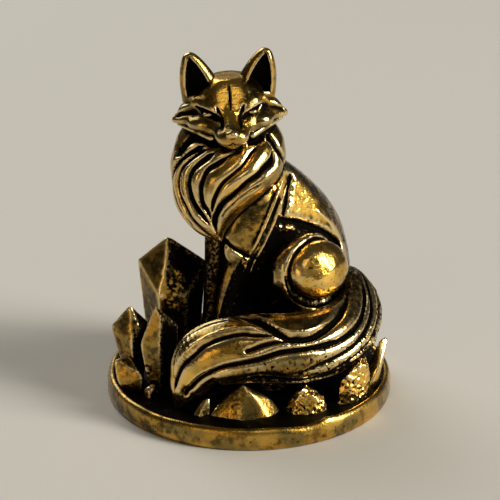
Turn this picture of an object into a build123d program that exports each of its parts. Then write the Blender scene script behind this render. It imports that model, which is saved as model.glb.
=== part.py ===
"""Antique brass figurine of a seated fox on a round plinth, with its brush swept round the front and a
cluster of crystals beside it.

The pieces are separate castings. Each one seats on its neighbour and is located there by a peg in a socket.
Units are millimetres. +Z is up, the origin is the middle of the plinth's underside, and the fox's face looks
along -Y. Left and right are the fox's own, so its left side is at +X. Heights of the pieces are counted from
the dished floor of the plinth.
"""

import math
import os
from collections import namedtuple

from build123d import *

# Plinth
BASE_RADIUS = 17.7
BASE_THICKNESS = 2.8
DISH_DEPTH = 0.8
RIM_WIDTH = 1.0
RIM_ROUND = 0.3
FOOT_ROUND = 0.35

# Pegs and sockets
PEG_CLEARANCE = 0.05
FLOOR_PEG_DEPTH = 1.2
BODY_PEG_RADIUS = 1.6
LIMB_PEG_RADIUS = 0.6
ROCK_PEG_RADIUS = 0.5
HEAD_PEG_RADIUS = 1.3
HEAD_PEG_LENGTH = 6.0
EAR_PEG_RADIUS = 0.45
EAR_PEG_LENGTH = 1.2
RUFF_PEG_RADIUS = 1.0
RUFF_PEG_LENGTH = 8.0
RUFF_PEG_DROP = 40
HAUNCH_PEG_RADIUS = 0.9
HAUNCH_PEG_LENGTH = 5.0
TAIL_PEG_RADIUS = 0.9
TAIL_PEG_LENGTH = 4.6

# Body: the spine's direction in plan, and a point of the plane that halves the body
BODY_YAW = 37
BODY_CENTRE = (4.6, 2.5)

# Torso: height as a share of the head's, shift along the spine from the body's centre, half length along the
# spine, half width
TORSO_SECTIONS = (
    (0.0, 2.1, 6.4, 5.6),
    (0.115, 2.2, 7.2, 6.4),
    (0.285, 1.7, 7.3, 6.2),
    (0.457, 0.4, 8.0, 5.5),
    (0.6, -1.6, 7.6, 4.8),
    (0.743, -4.7, 5.9, 4.2),
    (0.857, -7.6, 3.4, 3.0),
)

# Chest ruff, hung from the head's centre: drop, shifts along X and Y, half widths along X and Y, turn of its
# locks in degrees
RUFF_LOCKS = 13
RUFF_GROOVE = 0.11
RUFF_SECTIONS = (
    (0.8, 0.1, 1.3, 4.3, 3.8, 8),
    (3.4, 0.05, 0.8, 6.1, 4.8, 0),
    (4.8, 0.0, 0.3, 6.6, 5.4, -10),
    (6.4, -0.15, -0.3, 6.9, 5.9, -20),
    (8.0, -0.55, -0.8, 6.6, 5.7, -27),
    (9.8, -1.3, -1.4, 5.6, 5.0, -33),
    (12.0, -2.3, -2.4, 3.8, 3.7, -26),
    (14.2, -2.3, -3.5, 1.7, 1.7, -16),
    (15.4, -1.6, -3.9, 0.3, 0.4, -10),
)

# Brush: centre x, centre y, height, half height, half width, turn of its locks in degrees
TAIL_LOCKS = 9
TAIL_GROOVE = 0.12
TAIL_SECTIONS = (
    (9.0, 6.6, 9.4, 2.8, 2.6, 0),
    (12.2, 3.4, 8.6, 4.0, 3.5, 8),
    (12.8, -1.2, 7.5, 4.2, 3.6, 16),
    (10.4, -5.8, 7.1, 4.3, 3.7, 24),
    (5.6, -9.0, 7.3, 4.4, 3.8, 32),
    (0.0, -10.2, 7.8, 4.2, 3.7, 40),
    (-5.0, -10.3, 6.7, 3.8, 3.4, 48),
    (-8.0, -10.4, 3.4, 2.2, 2.0, 56),
    (-8.7, -10.6, -0.4, 0.5, 0.5, 60),
)

# Head: its centre, and its sections as distance forward, half width, top and bottom from that centre
HEAD_CENTRE = (-2.3, -1.3)
HEAD_HEIGHT = 35.0
HEAD_ROLL = 3
HEAD_TURN = 3
HEAD_SECTIONS = (
    (-4.4, 1.6, 1.6, -1.4),
    (-3.0, 3.8, 3.2, -3.0),
    (-0.5, 4.9, 3.9, -3.5),
    (1.6, 4.6, 3.2, -3.4),
    (3.0, 3.4, 1.7, -3.3),
    (4.3, 2.3, 0.2, -3.3),
    (5.6, 1.75, -0.4, -3.1),
    (6.3, 0.9, -0.9, -2.5),
)

# Cheek tufts: distance out from the middle, half height, half depth, shift up, shift forward
CHEEK_SECTIONS = (
    (3.2, 2.1, 2.3, -0.9, 0.4),
    (5.2, 1.2, 1.3, -0.6, 0.1),
    (6.8, 0.3, 0.35, -1.05, -0.25),
)

# Eyes: slanted slits, cut back to a flat floor
EYE_LENGTH = 2.3
EYE_OPENING = 0.8
EYE_SPACING = 2.6
EYE_RISE = 0.2
EYE_SLANT = 22
EYE_FLOOR = 2.3

# Ears: base and tip in the head's own frame (out, up, forward), then sections of the shell and of its cup
# as share of the ear's length, half width and half depth
EAR_BASE = (3.4, 1.9, -0.7)
EAR_TIP = (4.5, 6.85, -0.6)
EAR_SECTIONS = ((0.0, 2.1, 1.4), (0.4, 1.7, 1.15), (0.75, 1.0, 0.75), (1.0, 0.25, 0.25))
EAR_CUP_SECTIONS = ((0.25, 1.35, 0.9), (0.6, 0.95, 0.65), (0.9, 0.2, 0.2))
EAR_CUP_SHIFT = 0.75

# Forelegs: height as a share of the head's, centre x, centre y, half widths along X and Y
LEFT_FORELEG_SECTIONS = (
    (0.0, -3.7, -5.2, 1.4, 1.8),
    (0.063, -3.6, -4.9, 1.2, 1.4),
    (0.171, -3.3, -4.6, 1.0, 1.15),
    (0.343, -2.4, -4.3, 1.05, 1.2),
    (0.471, -1.2, -4.0, 1.35, 1.5),
    (0.543, -0.5, -3.7, 1.7, 1.8),
    (0.629, 0.6, -3.6, 2.5, 2.1),
    (0.703, 1.6, -3.1, 2.5, 2.1),
    (0.786, 2.2, -1.8, 0.8, 0.8),
)
RIGHT_FORELEG_SECTIONS = (
    (0.0, -6.3, -2.9, 1.4, 1.8),
    (0.063, -5.9, -2.6, 1.2, 1.3),
    (0.229, -4.8, -2.3, 1.0, 1.1),
    (0.457, -4.2, -2.0, 1.2, 1.3),
    (0.571, -3.8, -1.6, 1.4, 1.5),
    (0.686, -2.4, -0.6, 1.2, 1.2),
)

# Hind legs, measured from the body's centre: height, shift along the spine, shift out to the side, half
# length along the spine, half width across it
HIND_LEG_SECTIONS = (
    (0.0, -4.2, 4.8, 3.3, 1.5),
    (1.8, -4.0, 4.8, 3.1, 1.5),
    (4.5, -2.0, 5.2, 2.6, 1.7),
    (9.0, -0.5, 5.6, 2.6, 1.9),
    (14.0, -0.3, 5.6, 2.6, 1.9),
)

# Haunches: the thigh's dome and the flatter band behind its front edge, each as shift along the spine, shift
# out to the side, height, radius and half depth
THIGH = (-0.4, 6.1, 15.1, 3.7, 3.1)
BAND = (-0.6, 4.9, 14.9, 4.7, 3.1)

# Crystals and rocks: bearing of the foot's centre and its distance in from the plinth's edge, half widths,
# share of them at the foot and at the shoulder, corners as angle and share, shoulder's height and shift, and
# tip's height and shift
Rock = namedtuple("Rock", "bearing inset half_x half_y foot shoulder corners height lean top tip")
ROCKS = {
    "tall_crystal": Rock(
        178.8, 8.0, 4.2, 4.0, 0.6, 1.0,
        ((4, 1.02), (63, 0.9), (130, 0.88), (197, 1.0), (265, 0.9), (303, 0.92)),
        15.0, (0.0, 0.0), 18.7, (-0.2, -1.4),
    ),
    "left_crystal": Rock(
        188.8, 3.33, 2.0, 1.8, 0.6, 1.0,
        ((10, 1.0), (80, 0.9), (175, 1.05), (230, 0.9), (300, 0.95)),
        7.4, (-1.1, -0.7), 10.8, (-0.3, -1.2),
    ),
    "front_crystal": Rock(
        204.0, 5.9, 2.1, 1.5, 0.6, 1.0,
        ((20, 1.0), (110, 0.9), (195, 1.0), (285, 1.0)),
        7.2, (-0.7, -1.0), 12.0, (-0.5, -1.2),
    ),
    "low_crystal": Rock(
        200.1, 2.58, 1.5, 1.3, 0.8, 1.0,
        ((30, 1.0), (120, 0.9), (205, 1.0), (290, 1.0)),
        2.0, (-0.6, 0.1), 4.2, (-2.4, 0.2),
    ),
    "crystal_chip": Rock(
        210.5, 3.9, 1.3, 0.9, 1.0, 0.7,
        ((0, 1.0), (70, 0.9), (170, 1.0), (260, 1.0), (310, 0.9)),
        1.1, (0.0, 0.1), 1.6, (-0.2, 0.2),
    ),
    "front_rock": Rock(
        268.4, 6.8, 4.3, 2.5, 1.0, 0.72,
        ((0, 1.0), (50, 0.9), (130, 0.9), (180, 1.0), (232, 0.95), (268, 1.0), (315, 0.95)),
        1.7, (-0.2, -0.1), 3.8, (-0.8, -0.5),
    ),
    "small_front_rock": Rock(
        244.8, 4.77, 1.2, 1.0, 1.0, 0.8,
        ((10, 1.0), (90, 0.9), (175, 1.0), (245, 0.95), (310, 1.0)),
        1.0, (0.0, 0.0), 1.8, (0.1, 0.3),
    ),
    "right_front_rock": Rock(
        303.3, 5.14, 2.9, 1.8, 1.0, 0.75,
        ((5, 1.0), (60, 0.9), (120, 0.9), (185, 1.0), (240, 1.0), (300, 0.95)),
        1.5, (-0.1, 0.0), 3.1, (-0.6, -0.4),
    ),
    "long_right_rock": Rock(
        330.3, 3.2, 2.2, 1.9, 1.0, 0.85,
        ((20, 1.0), (80, 0.9), (160, 1.0), (215, 0.95), (290, 1.0)),
        2.4, (0.2, 0.1), 4.8, (0.7, 0.2),
    ),
    "right_shard": Rock(
        344.0, 2.41, 1.2, 1.6, 1.0, 1.0,
        ((0, 1.0), (85, 1.0), (180, 1.0), (275, 1.0)),
        2.6, (0.9, 0.7), 5.2, (2.5, 2.4),
    ),
}

# Derived places
FLOOR = BASE_THICKNESS - DISH_DEPTH
SPINE = Vector(math.cos(math.radians(BODY_YAW)), math.sin(math.radians(BODY_YAW)), 0)
LEFTWARDS = Vector(SPINE.Y, -SPINE.X, 0)
UP = Vector(0, 0, 1)
HEAD_ORIGIN = Vector(*HEAD_CENTRE, FLOOR + HEAD_HEIGHT)
HEAD_PLANE = Plane(
    origin=HEAD_ORIGIN,
    x_dir=Vector(1, 0, 0).rotate(Axis.Y, -HEAD_ROLL).rotate(Axis.Z, HEAD_TURN),
    z_dir=Vector(0, -1, 0).rotate(Axis.Z, HEAD_TURN),
)
HEAD_PEG_PLANE = Plane(origin=HEAD_ORIGIN, z_dir=-UP)
RUFF_CENTRES = [HEAD_ORIGIN + Vector(x, y, -drop) for drop, x, y, *_ in RUFF_SECTIONS]
RUFF_PEG_PLANE = Plane(
    origin=RUFF_CENTRES[3],
    z_dir=SPINE * math.cos(math.radians(RUFF_PEG_DROP)) - UP * math.sin(math.radians(RUFF_PEG_DROP)),
)
TORSO_CENTRES = [
    Vector(*BODY_CENTRE, FLOOR + share * HEAD_HEIGHT) + SPINE * along for share, along, *_ in TORSO_SECTIONS
]
TAIL_CENTRES = [Vector(x, y, FLOOR + height) for x, y, height, *_ in TAIL_SECTIONS]
ROCK_PLACES = {
    name: Vector(0, 0, FLOOR) + Vector(BASE_RADIUS - rock.inset, 0, 0).rotate(Axis.Z, rock.bearing)
    for name, rock in ROCKS.items()
}
TAIL_PEG_AIM = TORSO_CENTRES[2] - TAIL_CENTRES[2]
TAIL_PEG_PLANE = Plane(origin=TAIL_CENTRES[2], z_dir=Vector(TAIL_PEG_AIM.X, TAIL_PEG_AIM.Y, 0))


def body_point(along, out, height, side):
    """Point beside the body: side is 1 on the fox's left and -1 on its right."""
    return Vector(*BODY_CENTRE, FLOOR + height) + SPINE * along + LEFTWARDS * (side * out)


def haunch_peg_plane(side):
    """Start and direction of a haunch's peg, which points into the torso."""
    return Plane(origin=body_point(THIGH[0], THIGH[1], BAND[2], side), z_dir=LEFTWARDS * -side)


def ear_plane(side):
    """Plane of an ear's base: its normal runs to the ear's tip, and -Y is the ear's front."""
    base = HEAD_PLANE.from_local_coords(Vector(side * EAR_BASE[0], *EAR_BASE[1:]))
    tip = HEAD_PLANE.from_local_coords(Vector(side * EAR_TIP[0], *EAR_TIP[1:]))
    return Plane(origin=base, x_dir=HEAD_PLANE.x_dir, z_dir=tip - base)


def ear_peg_plane(side):
    """Start and direction of an ear's peg, which points into the skull."""
    plane = ear_plane(side)
    return Plane(origin=plane.origin + plane.z_dir * EAR_PEG_LENGTH, z_dir=-plane.z_dir)


def lock_outline(half_x, half_y, locks, groove, turn):
    """Oval outline with a rounded lobe for each lock, drawn in the current line and turned by an angle."""
    points = []
    for step in range(2 * locks + 1):
        angle = math.radians(turn + 180 * step / locks)
        share = 1 - groove * (1 - step % 2)
        points.append((half_x * share * math.cos(angle), half_y * share * math.sin(angle)))
    for first in range(0, 2 * locks, 2):
        ThreePointArc(*points[first : first + 3])


def rock_outline(rock, share):
    """Corners of a crystal or rock at a share of its half widths."""
    return [
        (
            rock.half_x * share * part * math.cos(math.radians(angle)),
            rock.half_y * share * part * math.sin(math.radians(angle)),
        )
        for angle, part in rock.corners
    ]


def peg(plane, radius, length):
    """Peg along a plane's normal, added to the piece being built."""
    with Locations(plane):
        Cylinder(radius, length, align=(Align.CENTER, Align.CENTER, Align.MIN))


def socket(plane, radius, length):
    """Socket for a peg, cut from the piece being built with clearance all round."""
    with Locations(plane):
        Cylinder(
            radius + PEG_CLEARANCE,
            length + PEG_CLEARANCE,
            align=(Align.CENTER, Align.CENTER, Align.MIN),
            mode=Mode.SUBTRACT,
        )


# Pegs that stand in the plinth: x, y, radius
LEFT_FOOT = body_point(HIND_LEG_SECTIONS[0][1], HIND_LEG_SECTIONS[0][2], 0, 1)
RIGHT_FOOT = body_point(HIND_LEG_SECTIONS[0][1], HIND_LEG_SECTIONS[0][2], 0, -1)
FLOOR_PEGS = {
    "torso": (TORSO_CENTRES[0].X, TORSO_CENTRES[0].Y, BODY_PEG_RADIUS),
    "left_foreleg": (*LEFT_FORELEG_SECTIONS[0][1:3], LIMB_PEG_RADIUS),
    "right_foreleg": (*RIGHT_FORELEG_SECTIONS[0][1:3], LIMB_PEG_RADIUS),
    "left_haunch": (LEFT_FOOT.X, LEFT_FOOT.Y, LIMB_PEG_RADIUS),
    "right_haunch": (RIGHT_FOOT.X, RIGHT_FOOT.Y, LIMB_PEG_RADIUS),
    **{name: (place.X, place.Y, ROCK_PEG_RADIUS) for name, place in ROCK_PLACES.items()},
}


def floor_peg_plane(name):
    """Start and direction of a standing piece's peg, which points down into the plinth."""
    return Plane(origin=(*FLOOR_PEGS[name][:2], FLOOR), z_dir=-UP)


def floor_peg(name):
    """Peg of a standing piece, added to the piece being built."""
    peg(floor_peg_plane(name), FLOOR_PEGS[name][2], FLOOR_PEG_DEPTH)


# Plinth: a turned disc with a raised rim round a dished floor
with BuildPart() as base_plate:
    with BuildSketch(Plane.XZ) as plinth_profile:
        with BuildLine():
            Polyline(
                (0, 0),
                (BASE_RADIUS, 0),
                (BASE_RADIUS, BASE_THICKNESS),
                (BASE_RADIUS - RIM_WIDTH, BASE_THICKNESS),
                (BASE_RADIUS - RIM_WIDTH, FLOOR),
                (0, FLOOR),
                close=True,
            )
        make_face()
        rim_corners = plinth_profile.vertices().filter_by_position(Axis.Y, BASE_THICKNESS, BASE_THICKNESS)
        fillet(rim_corners, RIM_ROUND)
        fillet(plinth_profile.vertices().sort_by_distance((BASE_RADIUS, 0))[0], FOOT_ROUND)
    revolve(axis=Axis.Z)
    for name, (x, y, radius) in FLOOR_PEGS.items():
        socket(floor_peg_plane(name), radius, FLOOR_PEG_DEPTH)

# Head's form: an oval loft from the back of the skull to the nose, a tuft on each cheek, and slit eyes
with BuildPart() as head_form:
    for forward, half_width, top, bottom in HEAD_SECTIONS:
        with BuildSketch(HEAD_PLANE.offset(forward)):
            with Locations((0, (top + bottom) / 2)):
                Ellipse(half_width, (top - bottom) / 2)
    loft()
    for side in (-1, 1):
        for out, half_height, half_depth, up, forward in CHEEK_SECTIONS:
            place = HEAD_PLANE.from_local_coords(Vector(side * out, up, forward))
            with BuildSketch(Plane(origin=place, x_dir=HEAD_PLANE.z_dir, z_dir=HEAD_PLANE.x_dir * side)):
                Ellipse(half_depth, half_height)
        loft()
        with BuildSketch(HEAD_PLANE.offset(EYE_FLOOR)):
            with Locations(Location((side * EYE_SPACING, EYE_RISE, 0), (0, 0, side * EYE_SLANT))):
                Ellipse(EYE_LENGTH / 2, EYE_OPENING / 2)
        extrude(amount=EYE_LENGTH, mode=Mode.SUBTRACT)

# Head: the form with a neck peg below and a socket for each ear
with BuildPart() as head:
    add(head_form.part)
    peg(HEAD_PEG_PLANE, HEAD_PEG_RADIUS, HEAD_PEG_LENGTH)
    for side in (-1, 1):
        socket(ear_peg_plane(side), EAR_PEG_RADIUS, 2 * EAR_PEG_LENGTH)

# Ears: tapered shells hollowed from the front, each seated on the skull
ears = {}
for name, side in (("right_ear", -1), ("left_ear", 1)):
    plane = ear_plane(side)
    length = math.dist(EAR_BASE, EAR_TIP)
    with BuildPart() as ear:
        for share, half_width, half_depth in EAR_SECTIONS:
            with BuildSketch(plane.offset(share * length)):
                Ellipse(half_width, half_depth)
        loft()
        for share, half_width, half_depth in EAR_CUP_SECTIONS:
            with BuildSketch(plane.offset(share * length)):
                with Locations((0, -EAR_CUP_SHIFT)):
                    Ellipse(half_width, half_depth)
        loft(mode=Mode.SUBTRACT)
        add(head_form.part, mode=Mode.SUBTRACT)
        peg(ear_peg_plane(side), EAR_PEG_RADIUS, 2 * EAR_PEG_LENGTH)
    ears[name] = ear

# Chest ruff's form: a lobed loft whose locks swing round to one side and come together at the tip
with BuildPart() as ruff_form:
    for centre, (*_, half_x, half_y, turn) in zip(RUFF_CENTRES, RUFF_SECTIONS):
        with BuildSketch(Plane(origin=centre)):
            with BuildLine():
                lock_outline(half_x, half_y, RUFF_LOCKS, RUFF_GROOVE, turn)
            make_face()
    loft()
    add(head_form.part, mode=Mode.SUBTRACT)

# Chest ruff: the form with a peg into the torso and a socket for the head's peg
with BuildPart() as chest_ruff:
    add(ruff_form.part)
    peg(RUFF_PEG_PLANE, RUFF_PEG_RADIUS, RUFF_PEG_LENGTH)
    socket(HEAD_PEG_PLANE, HEAD_PEG_RADIUS, HEAD_PEG_LENGTH)

# Torso's form: oval sections from the haunches up to the neck
with BuildPart() as torso_form:
    for centre, (*_, half_length, half_width) in zip(TORSO_CENTRES, TORSO_SECTIONS):
        with BuildSketch(Plane(origin=centre, x_dir=SPINE)):
            Ellipse(half_length, half_width)
    loft()
    add(head_form.part, mode=Mode.SUBTRACT)
    add(ruff_form.part, mode=Mode.SUBTRACT)

# Torso: the form with a peg in the plinth and sockets for the ruff, the haunches and the brush
with BuildPart() as torso:
    add(torso_form.part)
    floor_peg("torso")
    socket(RUFF_PEG_PLANE, RUFF_PEG_RADIUS, RUFF_PEG_LENGTH)
    for side in (-1, 1):
        socket(haunch_peg_plane(side), HAUNCH_PEG_RADIUS, HAUNCH_PEG_LENGTH)
    socket(TAIL_PEG_PLANE, TAIL_PEG_RADIUS, TAIL_PEG_LENGTH)

# Forelegs: tapered lofts from the shoulder to the paw
forelegs = {}
for name, sections in (
    ("left_foreleg", LEFT_FORELEG_SECTIONS),
    ("right_foreleg", RIGHT_FORELEG_SECTIONS),
):
    with BuildPart() as foreleg:
        for share, x, y, half_x, half_y in sections:
            with BuildSketch(Plane(origin=(x, y, FLOOR + share * HEAD_HEIGHT))):
                Ellipse(half_x, half_y)
        loft()
        add(ruff_form.part, mode=Mode.SUBTRACT)
        add(torso_form.part, mode=Mode.SUBTRACT)
        floor_peg(name)
    forelegs[name] = foreleg

# Haunches: a domed thigh in front of a flatter band, on a hind leg that ends in a long foot
haunches = {}
for name, side in (("left_haunch", 1), ("right_haunch", -1)):
    with BuildPart() as haunch:
        for height, along, out, half_length, half_width in HIND_LEG_SECTIONS:
            with BuildSketch(Plane(origin=body_point(along, out, height, side), x_dir=SPINE)):
                Ellipse(half_length, half_width)
        loft()
        for along, out, height, radius, half_depth in (THIGH, BAND):
            place = body_point(along, out, height, side)
            with BuildSketch(Plane(origin=place, x_dir=LEFTWARDS * side, z_dir=UP)):
                Ellipse(half_depth, radius)
                Rectangle(2 * half_depth, radius, align=(Align.CENTER, Align.MAX), mode=Mode.SUBTRACT)
            revolve(axis=Axis(place, LEFTWARDS))
        add(torso_form.part, mode=Mode.SUBTRACT)
        peg(haunch_peg_plane(side), HAUNCH_PEG_RADIUS, HAUNCH_PEG_LENGTH)
        floor_peg(name)
    haunches[name] = haunch

# Brush: a lobed loft that twists along its sweep from the rump to the tip, which rests on the plinth
with BuildPart() as tail:
    before = [TAIL_CENTRES[0], *TAIL_CENTRES[:-1]]
    after = [*TAIL_CENTRES[1:], TAIL_CENTRES[-1]]
    for centre, last, following, section in zip(TAIL_CENTRES, before, after, TAIL_SECTIONS):
        *_, half_height, half_width, turn = section
        heading = following - last
        with BuildSketch(Plane(origin=centre, x_dir=UP.cross(heading), z_dir=heading)):
            with BuildLine():
                lock_outline(half_width, half_height, TAIL_LOCKS, TAIL_GROOVE, turn)
            make_face()
    loft()
    split(bisect_by=Plane.XY.offset(FLOOR), keep=Keep.TOP)
    add(torso_form.part, mode=Mode.SUBTRACT)
    for piece in (*haunches.values(), *forelegs.values()):
        add(piece.part, mode=Mode.SUBTRACT)
    peg(TAIL_PEG_PLANE, TAIL_PEG_RADIUS, TAIL_PEG_LENGTH)

# Crystals and rocks: flat-sided forms that come to a point, trimmed where the brush or a foreleg meets them
# and where they lean on one another
rocks = {}
for name, rock in ROCKS.items():
    with BuildPart() as stone:
        place = ROCK_PLACES[name]
        with BuildSketch(Plane(origin=place), mode=Mode.PRIVATE) as foot:
            Polygon(*rock_outline(rock, rock.foot), align=None)
        shoulder_place = place + Vector(*rock.lean, rock.height)
        with BuildSketch(Plane(origin=shoulder_place), mode=Mode.PRIVATE) as shoulder:
            Polygon(*rock_outline(rock, rock.shoulder), align=None)
        tip = Vertex(*(place + Vector(*rock.tip, rock.top)))
        loft(sections=[foot.sketch.faces()[0], shoulder.sketch.faces()[0], tip], ruled=True)
        for piece in (tail, *forelegs.values(), *rocks.values()):
            add(piece.part, mode=Mode.SUBTRACT)
        floor_peg(name)
    rocks[name] = stone

pieces = {
    "base_plate": base_plate,
    "torso": torso,
    "chest_ruff": chest_ruff,
    "head": head,
    **ears,
    **forelegs,
    **haunches,
    "tail": tail,
    **rocks,
}
os.makedirs("parts", exist_ok=True)
for name, piece in pieces.items():
    piece.part.label = name
    export_step(piece.part, f"parts/{name}.step")
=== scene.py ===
"""Antique brass figurine of a seated fox, dressed over its solids.

Every casting is sculpted as a distance field in millimetres, in the frame of the solids, and meshed from it.
The fox's left and right are its own, so its left side is at +X, and those of the plinth, the crystals and the
rocks are the viewer's. The face looks along -Y.
"""

import math
from functools import partial

import bmesh
import bpy
import numpy as np
import openvdb
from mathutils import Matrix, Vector


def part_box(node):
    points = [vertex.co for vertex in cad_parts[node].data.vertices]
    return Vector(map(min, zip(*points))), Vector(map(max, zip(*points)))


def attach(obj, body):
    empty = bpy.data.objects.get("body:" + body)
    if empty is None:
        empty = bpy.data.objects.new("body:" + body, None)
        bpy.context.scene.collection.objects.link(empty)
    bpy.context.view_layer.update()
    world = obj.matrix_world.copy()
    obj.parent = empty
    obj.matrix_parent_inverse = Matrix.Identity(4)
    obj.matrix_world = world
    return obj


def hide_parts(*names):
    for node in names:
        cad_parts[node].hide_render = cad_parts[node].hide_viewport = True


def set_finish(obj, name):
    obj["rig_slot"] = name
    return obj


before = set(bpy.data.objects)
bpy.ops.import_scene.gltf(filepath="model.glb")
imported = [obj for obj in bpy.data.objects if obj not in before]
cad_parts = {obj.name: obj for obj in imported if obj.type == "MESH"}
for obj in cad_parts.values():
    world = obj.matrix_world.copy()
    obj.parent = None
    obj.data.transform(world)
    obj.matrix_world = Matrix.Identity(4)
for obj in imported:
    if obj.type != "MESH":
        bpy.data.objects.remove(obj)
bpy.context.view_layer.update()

MM = 0.001
COARSEN = 1.0

# Places shared with the solids
FLOOR = 2.0
BASE_RADIUS = 17.7
BODY_YAW = 37
BODY_CENTRE = (4.6, 2.5)
HEAD_CENTRE = (-2.3, -1.3, 37.0)
HEAD_ROLL = 3
HEAD_TURN = 3

# Camera: matched to the plinth's two ellipses in the photograph; side of the photograph in pixels, and how
# many millimetres a pixel shows
CAMERA_TARGET = (0.0, 0.0, 18.6)
CAMERA_DISTANCE = 230.0
CAMERA_RISE = 22
CAMERA_LENS = 135.46
CAMERA_SHIFT = (0.002, -0.004)
SENSOR_WIDTH = 36
CLIP_START = 0.01
PHOTO_SIDE = 500
PHOTO_PIXEL = 1 / 8.2

# Sculpting grid: side of a block of voxels, how near the surface a block is worked out voxel by voxel, and
# how many voxels to each side of the surface hold its distance
BLOCK = 4
NEAR_SURFACE = 1.0
SURFACE_VOXELS = 3


def direction(*xyz):
    """Unit vector."""
    vector = np.array(xyz, float)
    return vector / np.linalg.norm(vector)


SPINE = direction(math.cos(math.radians(BODY_YAW)), math.sin(math.radians(BODY_YAW)), 0)
LEFTWARDS = np.array((SPINE[1], -SPINE[0], 0.0))


# Tables and curves

def smooth_rows(rows, steps=10):
    """Rows of a table with a smooth curve drawn through them."""
    table = np.array(rows, float)
    padded = np.vstack((2 * table[0] - table[1], table, 2 * table[-1] - table[-2]))
    drawn = []
    for first in range(len(table) - 1):
        before, start, end, after = padded[first : first + 4]
        bend = 2 * before - 5 * start + 4 * end - after
        twist = 3 * start - before - 3 * end + after
        for part in np.arange(steps) / steps:
            drawn.append(0.5 * (2 * start + (end - before) * part + bend * part**2 + twist * part**3))
    drawn.append(table[-1])
    return np.array(drawn)


def columns(drawn, at):
    """The columns of a drawn table after its first, at values of the first."""
    return [np.interp(at, drawn[:, 0], column) for column in drawn.T[1:]]


def ease(low, high, value):
    """Smooth step from 0 at low to 1 at high."""
    share = np.clip((value - low) / (high - low), 0, 1)
    return share * share * (3 - 2 * share)


def bell(value, half_width):
    """Bell curve, from 1 at 0 to about a third at the half width."""
    return np.exp(-((value / half_width) ** 2))


def picture(points):
    """Where points show in the photograph, in pixels across and down."""
    rise = math.radians(CAMERA_RISE)
    offset = points - np.array(CAMERA_TARGET)
    nearer = offset @ np.array((0, -math.cos(rise), math.sin(rise)))
    higher = offset @ np.array((0, math.sin(rise), math.cos(rise)))
    scale = CAMERA_LENS / SENSOR_WIDTH * PHOTO_SIDE / (CAMERA_DISTANCE - nearer)
    across = PHOTO_SIDE * (0.5 - CAMERA_SHIFT[0]) + scale * offset[:, 0]
    down = PHOTO_SIDE * (0.5 + CAMERA_SHIFT[1]) - scale * higher
    return across, down


def in_oval(across, down, patch):
    """How far inside an oval of the photograph places are, from 0 at its edge to 1."""
    middle_across, middle_down, half_across, half_down = patch
    return ease(1.1, 0.7, np.hypot((across - middle_across) / half_across, (down - middle_down) / half_down))


# Noise

NOISE_SIDE = 32


def noise(points, size, seed):
    """Smooth noise from -1 to 1 with grains of a given size."""
    lattice = np.random.RandomState(seed).uniform(-1, 1, (NOISE_SIDE,) * 3).astype(np.float32)
    scaled = points / size
    cell = np.floor(scaled).astype(int)
    part = scaled - cell
    part = part * part * (3 - 2 * part)
    total = 0
    for corner in np.ndindex(2, 2, 2):
        weight = 1
        for axis in range(3):
            weight = weight * (part[:, axis] if corner[axis] else 1 - part[:, axis])
        x, y, z = ((cell + corner) % NOISE_SIDE).T
        total = total + weight * lattice[x, y, z]
    return total


# Distance fields

def blend_union(first, second, radius):
    """Union of two fields with a fillet."""
    share = np.clip(0.5 + 0.5 * (second - first) / radius, 0, 1)
    return second + (first - second) * share - radius * share * (1 - share)


def blend_cut(first, second, radius):
    """First field with the second one cut from it, with rounded edges."""
    return -blend_union(-first, second, radius)


def blend_common(first, second, radius):
    """What two fields share, with rounded edges."""
    return -blend_union(-first, -second, radius)


def ball(points, centre, radii):
    """Ellipsoid with its axes along the coordinates."""
    offset = points - np.array(centre, float)
    near = np.linalg.norm(offset / radii, axis=1)
    slope = np.linalg.norm(offset / np.square(radii), axis=1)
    return near * (near - 1) / np.maximum(slope, 1e-6)


def oval(x, y, half_x, half_y):
    """Ellipse in a plane."""
    near = np.hypot(x / half_x, y / half_y)
    slope = np.hypot(x / half_x**2, y / half_y**2)
    return near * (near - 1) / np.maximum(slope, 1e-6)


def strand(points, *stations):
    """Rope through stations of x, y, z and radius."""
    nearest = np.full(len(points), np.inf)
    for start, end in zip(stations, stations[1:]):
        foot = np.array(start[:3], float)
        run = np.array(end[:3], float) - foot
        offset = points - foot
        share = np.clip(offset @ run / (run @ run), 0, 1)
        gap = np.linalg.norm(offset - share[:, None] * run, axis=1)
        nearest = np.minimum(nearest, gap - (start[3] + share * (end[3] - start[3])))
    return nearest


# Grooves: reach in half widths; share of the length over which an end runs out, and what is left of it there;
# shares of the crisp bottom and the rounded shoulders in the depth; spread of the shoulders in half widths
GROOVE_STEPS = 6
GROOVE_REACH = 6
GROOVE_RUN_OUT = 0.14
GROOVE_END = 0.25
CRISP_SHARE = 0.68
SHOULDER_SHARE = 0.32
SHOULDER_SPREAD = 3.0


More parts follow.
